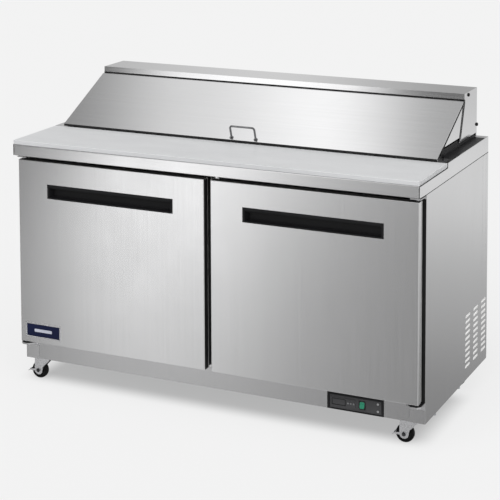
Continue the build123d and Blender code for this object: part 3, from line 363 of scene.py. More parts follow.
def refine(node, bevel=0.0005, segs=2, angle=32, material=None, smooth=35):
    """A finer mesh of a CAD node: clean faces and small rolled edges."""
    me = N[node].data.copy()
    bm = bmesh.new()
    bm.from_mesh(me)
    bmesh.ops.remove_doubles(bm, verts=bm.verts, dist=1.5e-5)
    bmesh.ops.dissolve_degenerate(bm, dist=1e-6, edges=bm.edges)
    bmesh.ops.dissolve_limit(bm, angle_limit=math.radians(0.6), verts=bm.verts, edges=bm.edges,
                             use_dissolve_boundaries=False)
    if bevel > 0:
        picked = []
        for e in bm.edges:
            if len(e.link_faces) == 2 and e.calc_face_angle(0) > math.radians(angle):
                picked.append(e)
        # edges shorter than the roll itself are left sharp
        picked = [e for e in picked if e.calc_length() > bevel * 1.2]
        if picked:
            bmesh.ops.bevel(bm, geom=picked, offset=bevel, offset_type="OFFSET", segments=segs, profile=0.5,
                            affect="EDGES", clamp_overlap=False, miter_outer="ARC" if False else "SHARP")
    bmesh.ops.remove_doubles(bm, verts=bm.verts, dist=2e-6)
    bm.to_mesh(me)
    bm.free()
    o = bpy.data.objects.new(node + "_shell", me)
    finish_mesh(o, material or MAT[SLOT[node]], body_of_node(node), smooth)
    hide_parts(node)
    return o


def new_piece(name, bm, material, body, angle=35, weighted=True):
    me = bpy.data.meshes.new(name)
    bmesh.ops.recalc_face_normals(bm, faces=bm.faces)
    bm.to_mesh(me)
    bm.free()
    o = bpy.data.objects.new(name, me)
    return finish_mesh(o, material, body, angle, weighted)


def frame_of(normal):
    n = Vector(normal).normalized()
    up = Vector((0, 0, 1)) if abs(n.z) < 0.9 else Vector((0, 1, 0))
    x = up.cross(n).normalized()
    y = n.cross(x)
    return x, y, n


def lathe_into(bm, origin, axis, profile, n=32):
    """Turns a profile of (radius, height along axis) about axis into bm."""
    x, y, z = frame_of(axis)
    o = Vector(origin)
    rings = []
    for r, h in profile:
        if r < 1e-7:
            rings.append([bm.verts.new(o + z * h)])
        else:
            rings.append([bm.verts.new(o + z * h + (x * math.cos(2 * math.pi * i / n) + y * math.sin(2 * math.pi * i / n)) * r)
                          for i in range(n)])
    for a, b in zip(rings, rings[1:]):
        for i in range(n):
            j = (i + 1) % n
            if len(a) == 1 and len(b) == 1:
                continue
            if len(a) == 1:
                bm.faces.new((a[0], b[i], b[j]))
            elif len(b) == 1:
                bm.faces.new((a[i], b[0], a[j]))
            else:
                bm.faces.new((a[i], b[i], b[j], a[j]))


def screw_into(bm, origin, axis, r=0.0035, h=0.0014, n=24):
    """A pan-head screw with a cross recess."""
    x, y, z = frame_of(axis)
    o = Vector(origin)

    def ring(rad, hh):
        return [bm.verts.new(o + z * hh + (x * math.cos(2 * math.pi * i / n) + y * math.sin(2 * math.pi * i / n)) * rad) for i in range(n)]

    base, side, top = ring(r, 0.0), ring(r * 0.96, h * 0.55), ring(r * 0.72, h)
    for a, b in ((base, side), (side, top)):
        for i in range(n):
            j = (i + 1) % n
            bm.faces.new((a[i], b[i], b[j], a[j]))
    c, w = r * 0.52, r * 0.13
    pts = [(c, -w), (c, w), (w, w), (w, c), (-w, c), (-w, w), (-c, w), (-c, -w), (-w, -w), (-w, -c), (w, -c), (w, -w)]
    cross = [bm.verts.new(o + z * h * 1.02 + x * a + y * b) for a, b in pts]
    deep = [bm.verts.new(o + z * h * 0.25 + (x * a + y * b) * 0.8) for a, b in pts]
    # join the top ring (24) to the cross (12): two ring edges to each cross edge
    shift = -1
    for k in range(12):
        i0, i1, i2 = (2 * k + shift) % n, (2 * k + 1 + shift) % n, (2 * k + 2 + shift) % n
        k1 = (k + 1) % 12
        bm.faces.new((top[i0], top[i1], cross[k]))
        bm.faces.new((top[i1], top[i2], cross[k1], cross[k]))
    for k in range(12):
        k1 = (k + 1) % 12
        bm.faces.new((cross[k], cross[k1], deep[k1], deep[k]))
    bm.faces.new(deep)
    bm.faces.new(list(reversed(base)))


def hex_into(bm, origin, axis, r=0.005, h=0.004, washer=0.0075):
    x, y, z = frame_of(axis)
    o = Vector(origin)
    lathe_into(bm, origin, axis, [(0, 0), (washer, 0), (washer, 0.0007), (washer - 0.0003, 0.001), (0, 0.001)], 24)
    low, high, cap = [], [], []
    for i in range(6):
        a = math.pi / 3 * i
        d = x * math.cos(a) + y * math.sin(a)
        low.append(bm.verts.new(o + z * 0.001 + d * r))
        high.append(bm.verts.new(o + z * (h - 0.0006) + d * r))
        cap.append(bm.verts.new(o + z * h + d * r * 0.86))
    for a, b in ((low, high), (high, cap)):
        for i in range(6):
            j = (i + 1) % 6
            bm.faces.new((a[i], a[j], b[j], b[i]))
    bm.faces.new(cap)
    bm.faces.new(list(reversed(low)))


def rect_loops(name, rect, profile, to3d, material, body, corner=0.0, csegs=5, angle=40):
    """A closed moulding that runs round a rectangle: profile is (inset, depth) points; to3d maps (a, b, depth)."""
    a0, a1, b0, b1 = rect
    bm = bmesh.new()
    loops = []
    for inset, depth in profile:
        x0, x1, z0, z1 = a0 + inset, a1 - inset, b0 + inset, b1 - inset
        rad = max(0.0, corner - inset)
        pts = []
        if rad < 1e-5:
            pts = [(x0, z0), (x1, z0), (x1, z1), (x0, z1)]
            pts = [p for p in pts for _ in range(csegs + 1)] if corner > 0 else pts
        else:
            for cx, cz, st in ((x0 + rad, z0 + rad, math.pi), (x1 - rad, z0 + rad, 1.5 * math.pi),
                               (x1 - rad, z1 - rad, 0.0), (x0 + rad, z1 - rad, 0.5 * math.pi)):
                for k in range(csegs + 1):
                    t = st + k * (math.pi / 2) / csegs
                    pts.append((cx + rad * math.cos(t), cz + rad * math.sin(t)))
        loops.append([bm.verts.new(to3d(p[0], p[1], depth)) for p in pts])
    n = len(loops[0])
    m = len(loops)
    for i in range(m):
        a, b = loops[i], loops[(i + 1) % m]
        for k in range(n):
            j = (k + 1) % n
            bm.faces.new((a[k], a[j], b[j], b[k]))
    bmesh.ops.remove_doubles(bm, verts=bm.verts, dist=1e-6)
    bmesh.ops.dissolve_degenerate(bm, dist=1e-7, edges=bm.edges)
    return new_piece(name, bm, material, body, angle)


def wire(name, paths, radius, material, body, slot, cyclic=False, res=4):
    """Round wires through lists of points, as one mesh piece."""
    cu = bpy.data.curves.new(name, "CURVE")
    cu.dimensions = "3D"
    cu.bevel_depth = radius
    cu.bevel_resolution = res
    cu.use_fill_caps = True
    for pts in paths:
        s = cu.splines.new("POLY")
        s.points.add(len(pts) - 1)
        for p, q in zip(s.points, pts):
            p.co = (*q, 1.0)
        s.use_cyclic_u = cyclic
    tmp = bpy.data.objects.new(name + "_tmp", cu)
    coll.objects.link(tmp)
    bpy.context.view_layer.update()
    dg = bpy.context.evaluated_depsgraph_get()
    me = bpy.data.meshes.new_from_object(tmp.evaluated_get(dg))
    me.name = name
    bpy.data.objects.remove(tmp)
    o = bpy.data.objects.new(name, me)
    return finish_mesh(o, material, body, 50, weighted=False)


def roll_edges(bm, width, segs=2, angle=30):
    if width <= 0:
        return
    picked = [e for e in bm.edges if len(e.link_faces) == 2 and e.calc_face_angle(0) > math.radians(angle)]
    bmesh.ops.bevel(bm, geom=picked, offset=width, offset_type="OFFSET", segments=segs, profile=0.5,
                    affect="EDGES", clamp_overlap=True)


def prism_into(bm, pts, plane, d0, d1):
    """A closed prism: pts in millimetres on a plane (XZ, YZ or XY; Y is depth behind the cabinet front)."""
    def put(a, b, d):
        if plane == "XZ":
            return (a * MM, Y0 + d * MM, b * MM)
        if plane == "YZ":
            return (d * MM, Y0 + a * MM, b * MM)
        return (a * MM, Y0 + b * MM, d * MM)
    lo_ = [bm.verts.new(put(a, b, d0)) for a, b in pts]
    hi_ = [bm.verts.new(put(a, b, d1)) for a, b in pts]
    n_ = len(pts)
    for i in range(n_):
        j = (i + 1) % n_
        bm.faces.new((lo_[i], lo_[j], hi_[j], hi_[i]))
    bm.faces.new(list(reversed(lo_)))
    bm.faces.new(hi_)


def prism(name, pts, plane, d0, d1, material, body, roll=0.3, segs=2):
    bm = bmesh.new()
    prism_into(bm, pts, plane, d0, d1)
    bmesh.ops.recalc_face_normals(bm, faces=bm.faces)
    roll_edges(bm, roll * MM, segs)
    return new_piece(name, bm, material, body)


def bars(name, boxes, material, body, roll=0.2, segs=2):
    """Straight strips with rolled edges, as one piece: (x0, x1, y0, y1, z0, z1) in millimetres."""
    bm = bmesh.new()
    for x0, x1, y0, y1, z0, z1 in boxes:
        prism_into(bm, [(min(x0, x1), z0), (max(x0, x1), z0), (max(x0, x1), z1), (min(x0, x1), z1)], "XZ", y0, y1)
    bmesh.ops.recalc_face_normals(bm, faces=bm.faces)
    roll_edges(bm, roll * MM, segs)
    return new_piece(name, bm, material, body)


def at(x, y, z):
    return (x * MM, Y0 + y * MM, z * MM)


CS, SN = math.cos(math.radians(26.5)), math.sin(math.radians(26.5))


def on_lid(s_, off):
    """A point of the lid in depth and height: s_ down the slope from the hinge, off above the hinge line."""
    return (520 - s_ * CS - off * SN, 1082.5 - s_ * SN + off * CS)


def arc(cx, cz, r, a0, a1, n=12):
    return [(cx + r * math.cos(math.radians(a0 + (a1 - a0) * i / n)), cz + r * math.sin(math.radians(a0 + (a1 - a0) * i / n)))
            for i in range(n + 1)]


# ---------------------------------------------------------------- CAD nodes and their finer shells
ROLLED = {
    "deck_top": 0.0006, "cutting_board": 0.0008, "hood_shell": 0.0005, "lid_panel": 0.0005,
    "left_door_skin": 0.0004, "right_door_skin": 0.0004, "right_side_panel": 0.00035, "left_side_panel": 0.00035,
    "kick_panel": 0.0004, "face_frame": 0.0003, "pan_collar": 0.0012, "pan_frame": 0.0005, "food_pans": 0.0004,
    "left_door_handle": 0.0006, "right_door_handle": 0.0006, "left_door_liner": 0.0008, "right_door_liner": 0.0008,
    "hinge_brackets": 0.0005, "control_bezel": 0.0008, "control_face": 0.0003, "power_switch": 0.0007,
    "lid_liner": 0.0005, "rear_covers": 0.0003, "base_pan": 0.0005, "evaporator_housing": 0.0006,
    "caster_plates": 0.0005, "condenser_fan": 0.0003, "evaporator_fan": 0.0003,
}
for node, width in ROLLED.items():
    # the kick panel takes the darker, painted-shade copy of the steel
    special = SIDE_SPECIAL if node.endswith("side_panel") else KICK_STEEL_PAINTED_SHADE if node == "kick_panel" else None
    refine(node, width, material=special)

done = set(ROLLED)
for node, o in N.items():
    if node in done:
        continue
    o.data.materials.clear()
    o.data.materials.append(BAIL_DARKENED_CHROME if node == "lid_handle" else MAT[SLOT[node]])

# ---------------------------------------------------------------- finer pieces
BLACK = MAT["black_rubber"]
# black strips down the front corners, behind the door edges: painted shade for the shadowed steel flanges there
bars("front_corner_shade_strips", [(k * 758.5, k * 777.3, -0.9, -0.02, a, b) for k in (1, -1) for a, b in ((168.2, 855.4), (866.2, 869.8))],
     BLACK, "cabinet", 0.25)
# painted shade: a black plate inside the nose keeps the gap above the doors dark
bars("nose_shade_plate", [(-776, 776, -65.5, -1.0, 876.2, 877.2)], BLACK, "cabinet", 0.2)
# painted shadow lines: dark strips in the shadow gaps under the board's ends, along the deck skirt and up the nose
# corners
shadow_gap_boxes = []
for k in (1, -1):
    shadow_gap_boxes += [(k * 777.6, k * 778.45, -66.5, 221.5, 910.6, 913.4), (k * 777.6, k * 778.4, 220.8, 224.2, 911.9, 928.0),
             (k * 777.2, k * 778.35, 1.5, 699.0, 869.2, 871.5), (k * 774.6, k * 777.2, -67.95, -67.3, 873.6, 911.8)]
bars("shadow_gap_lines", shadow_gap_boxes, MAT["painted_shade_grey"], "cabinet", 0.15)
# soft black strips along the tops of the doors: painted shade that darkens the gap under the nose
for k, word in ((1, "right"), (-1, "left")):
    bars(f"{word}_door_top_shade_strip", [(k * 15.5, k * 766.5, -45.6, -21.0, 854.02, 855.1)], MAT["painted_shade_grey"], f"{word}_door", 0.3)
# pressed rib and folded rear edge of the right and left side sheets
for k, word in ((1, "right"), (-1, "left")):
    bm = bmesh.new()
    rib = [(k * 778.02, 634.0), (k * 778.55, 635.4), (k * 778.55, 653.0), (k * 778.02, 654.6)]
    prism_into(bm, rib, "XY", 352.0 if k > 0 else 110.0, 867.0)
    prism_into(bm, [(k * 778.02, 673.0), (k * 778.45, 674.2), (k * 778.45, 699.2), (k * 778.02, 700.0)], "XY", 352.0 if k > 0 else 110.0, 867.0)
    if k > 0:
        prism_into(bm, [(778.02, 689.0), (778.45, 690.0), (778.45, 699.2), (778.02, 700.0)], "XY", 110.0, 351.6)
    bmesh.ops.recalc_face_normals(bm, faces=bm.faces)
    new_piece(f"side_ribs_{word}", bm, SIDE_SPECIAL, "cabinet")
# black strips on the hood, under the lip and down the front of each end panel: painted shade along the joins with the
# lid
hood_lip_shadow_boxes = [(-739.6, 739.6, 527.1, 528.0, 1085.9, 1091.0)]
bars("hood_lip_shadow_strip", hood_lip_shadow_boxes, BLACK, "cabinet", 0.25)
for k, word in ((1, "right"), (-1, "left")):
    prism(f"hood_end_shadow_strip_{word}", [(472.4, 946.2), (520.4, 1077.4), (527.6, 1079.6), (528.3, 1090.0), (532.6, 1090.0), (531.6, 1076.5), (481.5, 946.2)], "YZ",
          k * 740.02, k * 740.8, BLACK, "cabinet", 0.2)
    # black flange on the deck beside the hood: partly the collar's own black plastic, partly a painted dark reflection
    # out to the side rim
    prism(f"collar_flange_painted_reflection_{word}", [(k * 735, 292), (k * 735, 664), (k * 774.4, 664), (k * 774.4, 322), (k * 762, 292)], "XY",
          928.45, 929.3, MAT["black_plastic"], "cabinet", 0.3)
    # rubber plug on the rear corner of the hood and a small steel stop at its front corner
    bm = bmesh.new()
    lathe_into(bm, at(k * 739.2, 677, 974.5), (k, 0.25, 0),
               [(0, -0.004), (0.0062, -0.004), (0.0066, 0.0), (0.0064, 0.003), (0.005, 0.0052), (0.0028, 0.0061), (0, 0.0064)], 28)
    lathe_into(bm, at(k * 740.0, 574, 1101), (k, 0, 0),
               [(0, 0.0002), (0.0066, 0.0002), (0.0067, 0.0012), (0.0060, 0.0030), (0.0042, 0.0041), (0, 0.0045)], 28)
    new_piece(f"hood_plugs_{word}", bm, BLACK, "cabinet")
    prism(f"hood_stop_{word}", [(476, 950), (488, 952), (490, 962), (483, 966), (480, 958), (475, 956)], "YZ",
          k * 740.05, k * 741.6, MAT["hinge_steel"], "cabinet", 0.3)
    # dark strip down each end of the lid, painting the shadow line of its folded edge, with a rest bumper at its foot
    a_, b_, c_, d_ = on_lid(14, 0.4), on_lid(288, 0.4), on_lid(288, -7.4), on_lid(14, -6.0)
    prism(f"lid_end_shadow_strip_{word}", [a_, b_, c_, d_], "YZ", k * 740.02, k * 740.75, BLACK, "lid", 0.15)
    y_, z_ = on_lid(290, -7)
    bm = bmesh.new()
    lathe_into(bm, at(k * 736, y_, z_), (k, 0, 0),
               [(0, 0), (0.0050, 0), (0.0054, 0.003), (0.0054, 0.0054), (0.0046, 0.0064), (0.0025, 0.0068), (0, 0.0069)], 24)
    new_piece(f"lid_foot_{word}", bm, BLACK, "lid")
# painted shadow: a black strip along the lid's front fold thickens the dark line between lid and board
tip = on_lid(330.7, 4)
prism("lid_front_shadow_strip", [(tip[0] - 0.95, 930.3), (tip[0] - 0.05, 930.3), (tip[0] - 0.05, tip[1] - 0.4), (tip[0] - 0.95, tip[1] - 1.6)],
      "YZ", -739.6, 739.6, BLACK, "lid", 0.2)
# intake filter behind the air slots; its faint glow, set on the filter material above, is painted light
bm = bmesh.new()
rows_, cols_ = 10, 120
grid = {}
for i in range(cols_ + 1):
    for j in range(rows_ + 1):
        yy, zz = 430 + i * 262 / cols_, 120 + j * 222 / rows_
        grid[i, j] = bm.verts.new(at(776.35 + (0.2 if i % 2 else -0.2), yy, zz))
for i in range(cols_):
    for j in range(rows_):
        bm.faces.new((grid[i, j], grid[i + 1, j], grid[i + 1, j + 1], grid[i, j + 1]))
back = bmesh.ops.extrude_face_region(bm, geom=list(bm.faces))
for v in [g for g in back["geom"] if isinstance(g, bmesh.types.BMVert)]:
    v.co.x -= 0.0016
new_piece("intake_filter", bm, MAT["filter_white"], "cabinet")
# black caps over the lower hinge plates
for k, word in ((1, "right"), (-1, "left")):
    outline = [(k * 728, -32), (k * 741, -46.2), (k * 763, -46.2), (k * 775.2, -33), (k * 775.2, -3), (k * 728, -3)]
    prism(f"hinge_cap_{word}", outline, "XY", 167.6, 170.4, MAT["black_plastic"], "cabinet", 0.8, 3)
# vinyl guards on the doors' inner returns
for k, word in ((1, "right"), (-1, "left")):
    bars(f"{word}_door_edge_guard", [(k * 12.0, k * 12.55, -44.5, -20.6, 178, 850.5)], BLACK, f"{word}_door", 0.15)
# badge: a bright frame round a dark plate with one plain straight bar
def badge(a, b, d):
    return at(a * 1000, -47.7 - d * 1000, b * 1000)


rect_loops("badge_frame", (-0.7465, -0.5995, 0.1955, 0.2495),
           [(0, 0.0015), (0.0006, 0.0024), (0.0028, 0.0026), (0.0042, 0.0022), (0.0045, 0.0012), (0.0045, 0.0002), (0, 0.0002)],
           badge, MAT["zinc"], "left_door", corner=0.003)
bm = bmesh.new()
prism_into(bm, [(-710, 219), (-708, 217), (-638, 217), (-636, 219), (-636, 226), (-638, 228), (-708, 228), (-710, 226)],
           "XZ", -49.95, -49.0)
bmesh.ops.recalc_face_normals(bm, faces=bm.faces)
new_piece("badge_bar", bm, MAT["badge_light"], "left_door", 30)
# control panel: display window, marks on the buttons, two screws
rect_loops("display_window", (0.4455, 0.4965, 0.1135, 0.1365),
           [(0, 0.0009), (0.0005, 0.0014), (0.0016, 0.0015), (0.0022, 0.0010), (0.0022, 0.0002), (0, 0.0002)],
           lambda a, b, d: at(a * 1000, -d * 1000, b * 1000), MAT["black_plastic"], "cabinet", corner=0.002)
for name_, cx_ in (("set_button", 505.0), ("down_button", 515.0), ("up_button", 525.0)):
    pts_ = {"set_button": [(-1.7, -1.7), (1.7, -1.7), (1.7, 1.7), (-1.7, 1.7)], "down_button": [(0, -2.1), (2.2, 1.5), (-2.2, 1.5)],
            "up_button": [(0, 2.1), (-2.2, -1.5), (2.2, -1.5)]}[name_]
    prism(name_ + "_mark", [(cx_ + a, 125 + b) for a, b in pts_], "XZ", -2.32, -1.9, MAT["mark_white"], name_, 0.08, 1)
bm = bmesh.new()
for z_ in (113, 138):
    screw_into(bm, at(612, -0.3, z_), (0, -1, 0), 0.0042, 0.0018)
new_piece("panel_screws", bm, MAT["hinge_steel"], "cabinet", 30)
# screws on the hinge plates
bm = bmesh.new()
for k in (1, -1):
    for x_ in (730, 768):
        screw_into(bm, at(k * x_, -3.0, 155.5), (0, -1, 0), 0.0038, 0.0016)
new_piece("hinge_plate_screws", bm, MAT["zinc"], "cabinet", 30)
# cover plates on the kick's two ends, in a darker copy of the steel that paints the shade under the doors
bars("kick_ends", [(k * 723.4, k * 777.6, -0.55, -0.02, 96.3, 171.6) for k in (1, -1)], KICK_ENDS_PAINTED_SHADE, "cabinet", 0.2)
# screws round the two rear covers and the hood's back, and pressed ribs across the upper cover
bm = bmesh.new()
for x_ in range(-735, 736, 210):
    screw_into(bm, at(x_, 700.0, 858.5), (0, 1, 0), 0.0042, 0.0020)
    screw_into(bm, at(x_, 700.0, 361.5), (0, 1, 0), 0.0042, 0.0020)
for x_ in (-735, -525, -315, -105, 105, 315, 545):
    screw_into(bm, at(x_, 700.0, 337.0), (0, 1, 0), 0.0042, 0.0020)
    screw_into(bm, at(x_, 700.0, 115.0), (0, 1, 0), 0.0042, 0.0020)
for x_ in (-690, -345, 0, 345, 690):
    screw_into(bm, at(x_, 684.0, 930.2), (0, 0, 1), 0.0040, 0.0018)
new_piece("rear_screws", bm, MAT["zinc"], "cabinet", 30)
bm = bmesh.new()
for x0_, x1_, z_ in [(-700, -400, 430), (-700, -400, 790), (400, 700, 430), (400, 700, 790), (-600, 600, 520), (-600, 600, 700)]:
    half_ = 9.0
    ring_a = arc(x1_, z_, half_, -90, 90, 10) + arc(x0_, z_, half_, 90, 270, 10)
    ring_b = arc(x1_, z_, half_ - 5.0, -90, 90, 10) + arc(x0_, z_, half_ - 5.0, 90, 270, 10)
    low_ = [bm.verts.new(at(a, 699.9, b)) for a, b in ring_a]
    mid_ = [bm.verts.new(at(a, 700.9, b)) for a, b in [(a_ * 0.5 + c_ * 0.5, b_ * 0.5 + d_ * 0.5) for (a_, b_), (c_, d_) in zip(ring_a, ring_b)]]
    top_ = [bm.verts.new(at(a, 701.5, b)) for a, b in ring_b]
    for r_a, r_b in ((low_, mid_), (mid_, top_)):
        for i in range(len(r_a)):
            j = (i + 1) % len(r_a)
            bm.faces.new((r_a[i], r_a[j], r_b[j], r_b[i]))
    bm.faces.new(top_)
    bm.faces.new(list(reversed(low_)))
new_piece("rear_ribs", bm, MAT["galvanised"], "cabinet", 40)

# casters: pressed fork, tyre and hub, thin brake pedal
for tag, cx, cy, brake in (("front_left", -723, 62, True), ("front_right", 723, 62, True), ("rear_left", -723, 632, False),
                           ("rear_right", 723, 632, False)):
    wx = cx - 35
    bm = bmesh.new()
    for k in (1, -1):
        y_a, y_b = cy + k * 13.5, cy + k * 16.0
        leg = [(wx - 15, 81.3), (wx - 16.5, 58)] + arc(wx, 32, 16.5, 172, 360, 16) + [(wx + 19.0, 46), (cx + 12, 74), (cx + 12, 81.3)]
        prism_into(bm, leg, "XZ", min(y_a, y_b), max(y_a, y_b))
    prism_into(bm, [(wx - 15, cy - 16), (cx + 12, cy - 16), (cx + 18, cy - 8), (cx + 18, cy + 8), (cx + 12, cy + 16), (wx - 15, cy + 16)],
               "XY", 79.4, 81.9)
    bmesh.ops.recalc_face_normals(bm, faces=bm.faces)
    roll_edges(bm, 0.6 * MM, 2)
    # raceway under the plate, the king pin and the axle ends
    lathe_into(bm, at(cx, cy, 81.9), (0, 0, 1), [(0, 0), (0.0205, 0), (0.0222, 0.0012), (0.0222, 0.0034), (0.0205, 0.0050), (0.012, 0.0058), (0, 0.0058)], 48)
    lathe_into(bm, at(cx, cy, 79.3), (0, 0, -1), [(0, 0), (0.0075, 0), (0.0075, 0.0016), (0.0068, 0.0032), (0.004, 0.0042), (0, 0.0044)], 24)
    piece = new_piece(f"caster_{tag}_fork_fine", bm, MAT["zinc"], f"{tag}_swivel")
    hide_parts(f"caster_{tag}_fork")
    bm = bmesh.new()
    outy = 18.9 if brake else 16.0
    for k in (1, -1):
        hex_into(bm, at(wx, cy + k * outy, 32), (0, k, 0), 0.0052, 0.0046, 0.0072)
    lathe_into(bm, at(wx, cy - outy, 32), (0, 1, 0), [(0, 0), (0.0039, 0), (0.0039, 2 * outy * MM), (0, 2 * outy * MM)], 20)
    new_piece(f"caster_{tag}_axle", bm, MAT["bolt_dark"], f"{tag}_swivel", 30)
    bm = bmesh.new()
    prof = [(0.0235, -0.0078), (0.0245, -0.0096), (0.0262, -0.0106), (0.0288, -0.0104), (0.0306, -0.0088), (0.0315, -0.0062),
            (0.0319, -0.0034), (0.0320, -0.0012), (0.0320, 0.0012), (0.0319, 0.0034), (0.0315, 0.0062), (0.0306, 0.0088),
            (0.0288, 0.0104), (0.0262, 0.0106), (0.0245, 0.0096), (0.0235, 0.0078), (0.0225, 0.0060), (0.0225, -0.0060), (0.0235, -0.0078)]
    lathe_into(bm, at(wx, cy, 32), (0, 1, 0), prof, 72)
    bmesh.ops.remove_doubles(bm, verts=bm.verts, dist=1e-6)
    piece = new_piece(f"caster_{tag}_tyre", bm, MAT["wheel_black"], f"{tag}_wheel")
    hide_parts(f"caster_{tag}_wheel")
    bm = bmesh.new()
    hub = [(0.0042, -0.0124), (0.0072, -0.0124), (0.0078, -0.0118), (0.0080, -0.0086), (0.0120, -0.0070), (0.0200, -0.0064),
           (0.0226, -0.0078), (0.0236, -0.0076), (0.0236, 0.0076), (0.0226, 0.0078), (0.0200, 0.0064), (0.0120, 0.0070),
           (0.0080, 0.0086), (0.0078, 0.0118), (0.0072, 0.0124), (0.0042, 0.0124), (0.0042, -0.0124)]
    lathe_into(bm, at(wx, cy, 32), (0, 1, 0), hub, 64)
    bmesh.ops.remove_doubles(bm, verts=bm.verts, dist=1e-6)
    for i in range(6):
        a = math.radians(60 * i)
        for k in (1, -1):
            c0, s0 = math.cos(a), math.sin(a)
            w_ = 0.9
            inner, outer = 8.5, 21.5
            pts_ = [(wx + inner * c0 - w_ * s0, 32 + inner * s0 + w_ * c0), (wx + outer * c0 - w_ * s0, 32 + outer * s0 + w_ * c0),
                    (wx + outer * c0 + w_ * s0, 32 + outer * s0 - w_ * c0), (wx + inner * c0 + w_ * s0, 32 + inner * s0 - w_ * c0)]
            prism_into(bm, pts_, "XZ", cy + k * 6.0, cy + k * 8.6)
    bmesh.ops.recalc_face_normals(bm, faces=bm.faces)
    new_piece(f"caster_{tag}_hub", bm, MAT["hub_grey"], f"{tag}_wheel")
    if brake:
        bm = bmesh.new()
        for k in (1, -1):
            y_a, y_b = cy + k * 16.7, cy + k * 18.0
            arm = arc(wx, 32, 7.2, -80, 80, 8) + [(wx - 4, 37.2), (wx - 34, 34.6), (wx - 36.5, 32), (wx - 35, 29.4), (wx - 6, 27.8)]
            prism_into(bm, arm, "XZ", min(y_a, y_b), max(y_a, y_b))
        prism_into(bm, [(wx - 34.4, 28.8), (wx - 43, 24.9), (wx - 44.2, 27.2), (wx - 36.2, 31.4), (wx - 36.8, 34.6), (wx - 34.8, 34.5)],
                   "XZ", cy - 18.0, cy + 18.0)
        bmesh.ops.recalc_face_normals(bm, faces=bm.faces)
        roll_edges(bm, 0.35 * MM, 2)
        piece = new_piece(f"caster_{tag}_pedal", bm, MAT["zinc"], f"{tag}_brake")
        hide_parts(f"caster_{tag}_brake")

# ---------------------------------------------------------------- stage, light, camera
import numpy as np


def plane(name, size, loc, rot=(0, 0, 0)):
    bm = bmesh.new()
    bmesh.ops.create_grid(bm, x_segments=1, y_segments=1, size=size)
    me = bpy.data.meshes.new(name)
    bm.to_mesh(me)
    bm.free()
    o = bpy.data.objects.new(name, me)
    o.location = loc
    o.rotation_euler = rot
    coll.objects.link(o)
    return o


floor = plane("studio_floor", 60, (0, 0, 0))
fm = Net("m_floor")
n = fm.noise(fm.map((0.6, 0.6, 0.6)), 1.0, 3.0, 0.5)
seen = fm.add("ShaderNodeLightPath").outputs["Is Camera Ray"]
tone = fm.mix(n, (0.17, 0.17, 0.17), (0.175, 0.175, 0.175))
fm.set(Base_Color=fm.mix(seen, (0.62, 0.62, 0.62), tone), Roughness=0.9)
fm.bsdf.inputs["Specular IOR Level"].default_value = 0.0
fm.bsdf.inputs["Emission Color"].default_value = (1, 1, 1, 1)
# painted contact shadow under the table: the floor's glow is lowered, most of all well inside the table's outline
fs = fm.add("ShaderNodeSeparateXYZ")
fm.link(fm.obj, fs.inputs[0])
side_in = fm.maths("SUBTRACT", 0.825, fm.maths("ABSOLUTE", fm.maths("ADD", fs.outputs[0], 0.030)))
deep_in = fm.maths("SUBTRACT", 0.310, fm.maths("ABSOLUTE", fm.maths("ADD", fs.outputs[1], 0.022)))
shade = fm.maths("MULTIPLY", fm.remap(side_in, 0.0, 0.12, kind="SMOOTHSTEP"), fm.remap(deep_in, 0.02, 0.14, kind="SMOOTHSTEP"))
glow_ = fm.maths("SUBTRACT", 0.738, fm.maths("MULTIPLY", shade, 0.33))
fm.link(fm.maths("MULTIPLY", seen, glow_), fm.bsdf.inputs["Emission Strength"])
floor.data.materials.append(fm.mat)
floor.visible_glossy = False

# the room: an even pale field, and for reflections a set of soft panels round the table
world = bpy.data.worlds.new("studio")
scene.world = world
world.use_nodes = True
wt = world.node_tree
wt.nodes.clear()
wo = wt.nodes.new("ShaderNodeOutputWorld")
bg = wt.nodes.new("ShaderNodeBackground")
tc = wt.nodes.new("ShaderNodeTexCoord")
sep = wt.nodes.new("ShaderNodeSeparateXYZ")
wt.links.new(tc.outputs["Generated"], sep.inputs[0])
X, Y, Z = sep.outputs[0], sep.outputs[1], sep.outputs[2]
TOP_E = 1.9


def smooth(value, a, b, lo=0.0, hi=1.0, interp="SMOOTHSTEP"):
    nd = wt.nodes.new("ShaderNodeMapRange")
    nd.interpolation_type = interp
    wt.links.new(value, nd.inputs["Value"])
    nd.inputs["From Min"].default_value = a
    nd.inputs["From Max"].default_value = b
    nd.inputs["To Min"].default_value = lo
    nd.inputs["To Max"].default_value = hi
    return nd.outputs["Result"]


def row(value, stops, lo=-1.0, hi=1.0):
    """Panel brightness along one direction component: (component, brightness) pairs."""
    nd = wt.nodes.new("ShaderNodeValToRGB")
    nd.color_ramp.interpolation = "EASE"
    els = nd.color_ramp.elements
    while len(els) < len(stops):
        els.new(0.5)
    for e, (p, v) in zip(els, stops):
        e.position = (p - lo) / (hi - lo)
        e.color = (v / TOP_E, v / TOP_E, v / TOP_E, 1)
    wt.links.new(smooth(value, lo, hi, interp="LINEAR"), nd.inputs[0])
    return nd.outputs[0]


def blend_rows(fac, a, b):
    nd = wt.nodes.new("ShaderNodeMix")
    nd.data_type = "RGBA"
    if hasattr(fac, "links"):
        wt.links.new(fac, nd.inputs["Factor"])
    else:
        nd.inputs["Factor"].default_value = fac
    wt.links.new(a, nd.inputs["A"])
    wt.links.new(b, nd.inputs["B"])
    return nd.outputs["Result"]


